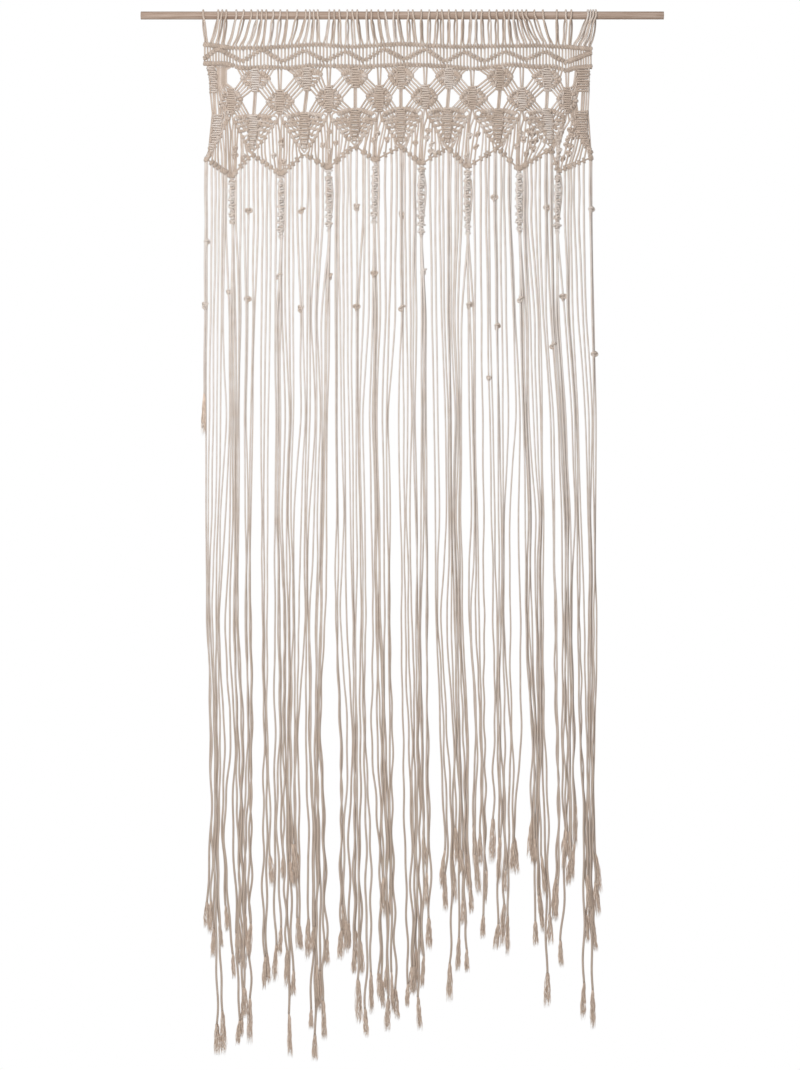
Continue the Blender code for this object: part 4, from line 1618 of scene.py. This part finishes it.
@dataclass
class NetCords:
    """The strings inside the net, and the leader cords that the hitches are tied round."""

    plan: StringPlan
    # How far from a stop a string's bend begins.
    bend: float = 3.0
    # The cord's girth where it hangs taut, and what it gains where it lies level and slack.
    taut: float = 1.04
    swell: float = 0.2
    seed: int = 11
    paths: list[np.ndarray] = field(default_factory=list)

    def leaders(self) -> list[np.ndarray]:
        """Lead the cords inside the hitches.

        Returns:
            The path of each.
        """
        hitches = HitchRows(self.plan)
        lines = (*hitches.rows(), *hitches.half_kites(), *hitches.inner_lines())
        paths = [smooth_path(upright(line), 6.0) for line in lines]
        # A kite's two leaders start at the middle of its top, go out over it and down its sides.
        sides = hitches.kite_sides()
        for kite, (x, z) in enumerate(KITE_TOPS):
            tip_x, tip_z = HIGHS[kite + 1]
            for side, line in ((-1, sides[2 * kite]), (1, sides[2 * kite + 1][::-1])):
                paths.append(smooth_path(
                    [(x + side * 1.5, -1.5, z + 1), *upright(self.plan.roof(kite, side), -1.6),
                     *upright([*line, (tip_x, tip_z + 2)])], 5.0))
        return paths

    def build(self, shop: Workshop) -> bpy.types.Object:
        """Make the strings and the leaders.

        Args:
            shop: Makes the cords.

        Returns:
            The piece.
        """
        chance = random.Random(self.seed)
        places = PlaceMesh()
        for index in range(STRINGS):
            path = bent_path(self.plan.net_path(index, chance), 8.0, self.bend)
            self.paths.append(path)
            along = np.gradient(path, axis=0)
            level = 1 - abs(along[:, 2]) / np.maximum(np.linalg.norm(along, axis=1), 0.01)
            places.add_cord(path, chance.uniform(-0.2, 0.9),
                            CORD / 2 * (self.taut + self.swell * level))
        for path in self.leaders():
            places.add_cord(path, chance.random())
        cords = shop.lay_cords("net_cords", places, 8)
        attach(cords, "root")
        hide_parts("knotted_net")
        return cords


@dataclass
class SquareKnots:
    """Square knots stacked on the gathered strings: diamonds, kites and the side columns.

    One of a stack's two knotting cords zigzags over the front, two bars for each knot. The other
    zigzags behind and comes round to the front of each knot as a short upright bar at one side.
    """

    knot_height: float = 9.2
    depth: float = 3.0
    # Half widths of a stack at shares of the way down, in a diamond and in a kite.
    diamond: tuple[Spot, ...] = ((0.0, 8.0), (0.15, 10.5), (0.5, 12.5), (0.8, 10.5), (1.0, 6.5))
    kite: tuple[Spot, ...] = ((0.0, 10.0), (0.2, 12.5), (0.45, 12.5), (0.7, 9.5), (1.0, 5.0))
    # The stacks at the left and the right side: bends of their middles, and their half widths.
    columns: tuple[tuple[tuple[Spot, ...], tuple[Spot, ...]], ...] = (
        (((-383, -101), (-379, -118), (-377.5, -155)), ((0.0, 9.5), (1.0, 9.5))),
        (((-368.5, -197), (-372, -240), (-388, -283)),
         ((0.0, 12.0), (0.5, 12.5), (0.75, 8.5), (1.0, 3.5))),
        (((361, -103), (360, -153)), ((0.0, 16.0), (1.0, 14.5))),
        (((358, -190), (358, -236), (377, -275)),
         ((0.0, 14.0), (0.5, 15.0), (0.75, 9.0), (1.0, 3.5))),
    )
    seed: int = 3

    def knot(self, x: float, z: float, half: float, bar: float) -> tuple[list[Point], list[Point]]:
        """Lead the two knotting cords through one knot.

        Args:
            x: The knot's middle.
            z: Its height.
            half: Half its width, below 0 when it is tied from the other side.
            bar: How far its two bars are above and below the middle.

        Returns:
            The stops of the cord in front, and of the one behind, which comes round one side.
        """
        deep = self.depth
        near = x - half + math.copysign(1.4, half)
        front = [(x - half, 0.4 * deep, z + bar + 1.4), (x - 0.8 * half, -deep, z + bar + 0.7),
                 (x, -deep - 0.8, z + bar), (x + 0.8 * half, -deep, z + bar - 0.6),
                 (x + half, 0.2 * deep, z), (x + 0.8 * half, -deep, z - bar + 0.6),
                 (x, -deep - 0.8, z - bar), (x - 0.8 * half, -deep, z - bar - 0.7)]
        behind = [(x + 0.9 * half, 0.6 * deep, z + bar + 1.2), (x, deep + 0.4, z + bar),
                  (x - half, 0.6 * deep, z + bar + 1.2), (near, -deep - 1.6, z + bar + 0.6),
                  (near, -deep - 2.6, z), (near, -deep - 1.6, z - bar - 0.6),
                  (x - half, 0.6 * deep, z - bar - 1.2), (x, deep + 0.4, z - bar),
                  (x + 0.9 * half, 0.6 * deep, z - bar - 1.2)]
        return front, behind

    def stack(self, places: PlaceMesh, chance: random.Random, course: Sequence[Spot],
              widths: Sequence[Spot]) -> None:
        """Stack knots on a bundle of strings.

        Args:
            places: Takes the two knotting cords.
            chance: The source of small differences.
            course: x and z of the bends of the stack's middle, from the top down.
            widths: Half widths at shares of the way down.
        """
        (_, top), (_, bottom) = course[0], course[-1]
        rising = [(z, x) for x, z in reversed(course)]
        count = max(2, round((top - bottom) / self.knot_height))
        height = (top - bottom) / count
        cords: tuple[list[Point], list[Point]] = ([], [])
        for knot in range(count):
            z = top - height * (knot + 0.5)
            x = height_on(rising, z) + chance.uniform(-0.6, 0.6)
            half = height_on(widths, (knot + 0.5) / count) - CORD / 2
            # The next knot is tied the other way round, so both cords change sides.
            half *= chance.uniform(0.93, 1.06) * (1 if knot % 2 else -1)
            for cord, stops in zip(cords, self.knot(x, z, half, height * 0.25)):
                cord += stops
        front, behind = (smooth_path(cord, 3.5) for cord in cords)
        places.add_cord(front, chance.uniform(0.1, 1.1), CORD * 0.49)
        places.add_cord(behind, chance.uniform(-0.1, 0.9))

    def build(self, shop: Workshop) -> bpy.types.Object:
        """Make the knotting cords of every stack.

        Args:
            shop: Makes the cords.

        Returns:
            The piece.
        """
        chance = random.Random(self.seed)
        places = PlaceMesh()
        for one in (*UPPER, *LOWER):
            self.stack(places, chance, ((one.x, one.top), (one.x, one.bottom + 2)), self.diamond)
        for top, (x, z) in zip(KITE_TOPS, HIGHS[1:]):
            self.stack(places, chance, (top, (x, z + 9)), self.kite)
        for course, widths in self.columns:
            self.stack(places, chance, course, widths)
        knots = shop.lay_cords("square_knots", places, 7)
        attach(knots, "root")
        return knots


@dataclass
class SpiralSinnets:
    """Half knots stacked one way round, which turn into a spiral column."""

    # From one half knot to the next, down and round.
    pitch: float = 4.6
    turn: float = math.radians(54)
    tilt: float = math.radians(24)
    half_width: float = 5.4
    half_depth: float = 2.6
    # The radius of a half knot's turn of cord, before it is stretched to its width and depth.
    round_radius: float = 3.1
    sway: float = 0.8
    tones: Spot = (0.8, 1.9)
    seed: int = 9

    def build(self, shop: Workshop) -> bpy.types.Object:
        """Make the half knots of all the sinnets.

        Args:
            shop: Makes the cords.

        Returns:
            The piece.
        """
        chance = random.Random(self.seed)
        places = PlaceMesh()
        wide, deep = self.half_width / self.round_radius, self.half_depth / self.round_radius
        for low in LOWS:
            top = low.z - 5
            count = round((top - low.sinnet_bottom) / self.pitch)
            start = chance.uniform(0, math.pi)
            for step in range(count + 1):
                share = step / count
                # The stack bends a little, and its last knots are drawn tight.
                x, z = between((low.x, top), (low.sinnet_x, low.sinnet_bottom), share)
                size = 1.0 - 2.5 * max(0.0, share - 0.9) + chance.uniform(-0.12, 0.12)
                turned = (Matrix.Rotation(start + step * self.turn, 3, "Z")
                          @ Matrix.Rotation(self.tilt, 3, "X")).to_euler()
                places.add_place((x + self.sway * math.sin(5 * share + start), 0.0, z),
                                 turn=tuple(turned), tone=chance.uniform(*self.tones),
                                 stretch=(wide * size, deep * size, 1.0))
        sinnets = shop.tie_turns("spiral_sinnets", places, turns=1.08, rise=0.0,
                                 radius=self.round_radius, cord=2.15, steps=12)
        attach(sinnets, "root")
        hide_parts(*(f"spiral_sinnet_{number + 1}" for number in range(len(LOWS))))
        return sinnets


@dataclass
class SmallKnots:
    """Overhand knots, tied in single strings."""

    size: float = 2.35
    radius: float = 2.15
    seed: int = 15

    def knot(self, centre: Point, size: float, turn: float) -> np.ndarray:
        """Lead the cord through one overhand knot.

        Args:
            centre: The knot's middle.
            size: Its size against the usual one.
            turn: How far it is rolled about the string.

        Returns:
            The path.
        """
        t = np.linspace(0.1, 2 * math.pi - 0.1, 34)
        shape = np.stack([0.9 * (np.sin(t) + 2 * np.sin(2 * t)), -1.3 * np.sin(3 * t),
                          np.cos(t) - 2 * np.cos(2 * t)], axis=1) * (self.size * size)
        rolled = np.array(Matrix.Rotation(turn, 3, "Z") @ Matrix.Rotation(turn * 0.4, 3, "X"))
        return shape @ rolled.T + np.array(centre)

    def build(self, shop: Workshop, paths: Sequence[np.ndarray]) -> bpy.types.Object:
        """Make all the small knots.

        Args:
            shop: Makes the cords.
            paths: The strings' paths, on which the knots sit.

        Returns:
            The piece.
        """
        chance = random.Random(self.seed)
        places = PlaceMesh()
        for tie in (*NET_TIES, *STRING_TIES):
            spots = [path[np.argmin(abs(path[:, 2] - tie.z))] for path in paths]
            near = min(spots, key=lambda spot: math.hypot(spot[0] - tie.x, spot[2] - tie.z))
            places.add_cord(self.knot((near[0], near[1], tie.z), tie.size,
                                      chance.uniform(-1.5, 1.5)),
                            chance.uniform(0.4, 1.1), self.radius)
        knots = shop.lay_cords("small_knots", places, 7)
        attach(knots, "root")
        return knots


@dataclass
class FreeStrings:
    """The long strings below the edge, and their frayed ends."""

    plan: StringPlan
    step: float = 13.0
    parts: int = 3
    fibres: int = 34
    # The cords' radius and tone at heights from the bottom up. The tone is painted light: the
    # strings are paler high up, where the light falls on them most, and darker towards their ends.
    girth: tuple[Spot, ...] = (
        (-2000.0, 2.35), (-1700.0, 2.2), (-1450.0, 1.85), (-1150.0, 1.65), (-900.0, 1.6),
        (-700.0, 1.7), (-480.0, 2.15), (-250.0, 2.3))
    pale: tuple[Spot, ...] = (
        (-2000.0, 0.3), (-1600.0, 0.45), (-1200.0, 0.8), (-900.0, 1.15), (-500.0, 1.35),
        (-250.0, 1.15))
    # Each string keeps waves from its coil, which its weight has not drawn out low down: their
    # least and most length and reach, and the share of the reach at heights from the bottom up.
    wave_length: Spot = (85.0, 150.0)
    wave_reach: Spot = (0.6, 2.3)
    waves: tuple[Spot, ...] = ((-1800.0, 1.0), (-1400.0, 0.5), (-1000.0, 0.0))
    # The least and the most length of a frayed end, and half width of its tuft.
    fray_length: Spot = (48.0, 95.0)
    fray_width: Spot = (4.6, 8.4)
    seed: int = 33
    tufts: PlaceMesh = field(default_factory=PlaceMesh)
    paths: list[np.ndarray] = field(default_factory=list)

    def lay_out(self) -> None:
        """Work out each string's path, and take its tuft's length off its end."""
        chance = random.Random(self.seed)
        for index, stops in enumerate(self.plan.string_paths()):
            path = smooth_path(stops, self.step)
            slack = np.interp(path[:, 2], *zip(*self.waves))
            turns = 2 * math.pi * path[:, 2] / chance.uniform(*self.wave_length)
            path[:, 0] += slack * chance.uniform(*self.wave_reach) * np.sin(turns + index * 1.9)
            below = path[:, 2] < path[-1, 2] + chance.uniform(*self.fray_length)
            cut = path[~below]
            start = path[below][0] if below.any() else path[-1]
            start = cut[-1] + (start - cut[-1]) * 0.5
            self.paths.append(np.vstack([cut, start]))
            self.tufts.add_place(start, fall=(start[2] - path[-1, 2]) * MM,
                                 width=chance.uniform(*self.fray_width) * MM,
                                 lean=(path[-1, 0] - start[0]) * MM, tone=chance.random())

    def build(self, shop: Workshop) -> list[bpy.types.Object]:
        """Make the strings and the frayed ends.

        Args:
            shop: Makes the cords and the fibres.

        Returns:
            The strings in a few pieces from left to right, and the frayed ends.
        """
        chance = random.Random(self.seed + 1)
        self.lay_out()
        pieces = []
        for part, indices in enumerate(np.array_split(np.arange(STRINGS), self.parts)):
            places = PlaceMesh()
            for index in indices:
                path = self.paths[index]
                thick, pale = (np.interp(path[:, 2], *zip(*table))
                               for table in (self.girth, self.pale))
                # The tone from the pale table is painted light, with a little random tone on top.
                places.add_cord(path, pale + chance.uniform(-0.15, 0.15), thick)
            pieces.append(shop.lay_cords(f"free_strings_{part + 1}", places, 8))
        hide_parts("string_fringe")
        pieces.append(shop.grow("frayed_ends", self.tufts, shop.fray, {
            "Fibres": self.fibres, "Steps": 9, "Fibre Radius": 0.00052, "Sides": 3, "Seed": 4,
            "Material": shop.fibre}))
        for piece in pieces:
            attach(piece, "root")
        return pieces


@dataclass
class SoftLight:
    """A rectangular soft light, with its places and sizes in metres."""

    name: str
    place: Point
    target: Point
    size: Spot
    watts: float

    def build(self) -> None:
        """Put the light in the scene."""
        data = bpy.data.lights.new(self.name, "AREA")
        data.shape = "RECTANGLE"
        data.size, data.size_y = self.size
        data.energy = self.watts
        lamp = link(self.name, data)
        lamp.location = self.place
        towards = Vector(self.target) - Vector(self.place)
        lamp.rotation_euler = towards.to_track_quat("-Z", "Y").to_euler()


@dataclass
class Studio:
    """Pale floor, soft light from above the front, and a camera square to the curtain."""

    frame_height: float = 2.14
    middle: Spot = (-0.0046, -1.039)
    lens: float = 120.0
    sensor: float = 36.0
    floor_z: float = -2.3
    sky: float = 0.42
    lights: tuple[SoftLight, ...] = (
        SoftLight("key", (-0.6, -2.0, -0.4), (0.0, 0.0, -0.5), (1.2, 1.2), 40.0),
        SoftLight("top light", (0.0, -0.9, 1.3), (0.0, 0.0, 0.0), (1.6, 0.8), 12.0),
        SoftLight("back light", (0.9, 2.6, -0.6), (0.0, 0.0, -0.8), (1.8, 1.8), 26.0),
    )

    def world(self) -> None:
        """Make the surroundings white to look at, and softer than that as a light."""
        world = bpy.data.worlds.new("studio")
        world.use_nodes = True
        world.node_tree.nodes.clear()
        add = partial(add_node, world.node_tree)
        ray = add("ShaderNodeLightPath")
        strength = add(MAP_RANGE, {
            "Value": ray.outputs["Is Camera Ray"], "To Min": self.sky, "To Max": 1.0})
        sky = add("ShaderNodeBackground", {"Color": (1.0, 1.0, 1.0, 1.0), "Strength": strength})
        add("ShaderNodeOutputWorld", {"Surface": sky})
        bpy.context.scene.world = world

    def floor(self) -> None:
        """Lay the pale floor below the longest string."""
        mesh = bpy.data.meshes.new("studio floor")
        corners = ((-3, -2.5), (3, -2.5), (3, 1.2), (-3, 1.2))
        mesh.from_pydata([(x, y, self.floor_z) for x, y in corners], [], [(0, 1, 2, 3)])
        mesh.materials.append(StudioPaint().build())
        floor = link("studio_floor", mesh)

    def camera(self) -> None:
        """Make the camera, level and square to the curtain's face."""
        data = bpy.data.cameras.new("studio camera")
        data.lens, data.sensor_width, data.clip_end = self.lens, self.sensor, 100
        camera = link("studio camera", data)
        distance = self.frame_height / 2 / (self.sensor / 2 / self.lens)
        camera.location = (self.middle[0], -distance, self.middle[1])
        camera.rotation_euler = (math.pi / 2, 0, 0)
        bpy.context.scene.camera = camera

    def build(self) -> None:
        """Set up the whole studio."""
        self.world()
        self.floor()
        for light in self.lights:
            light.build()
        self.camera()
        bpy.context.scene.view_settings.view_transform = "Standard"


def main() -> None:
    """Build every piece of the curtain, in order, and the studio."""
    logging.basicConfig(level=logging.INFO, format="%(name)s: %(message)s")
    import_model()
    Studio().build()

    plan = StringPlan()
    shop = Workshop()
    rod = Dowel().build()
    heading = Heading(plan).build(shop)
    hitches = HitchRows(plan).build(shop)
    net_cords = NetCords(plan)
    net = net_cords.build(shop)
    diamonds = SquareKnots().build(shop)
    sinnets = SpiralSinnets().build(shop)
    strings = FreeStrings(plan)
    pieces = strings.build(shop)
    knots = SmallKnots().build(shop, [*net_cords.paths, *strings.paths])
    for piece in (rod, heading, hitches, net, diamonds, sinnets, *pieces, knots):
        triangles = len(piece.data.loops) - 2 * len(piece.data.polygons)
        LOG.info("%s: %d triangles", piece.name, triangles)


if __name__ == "__main__":
    main()
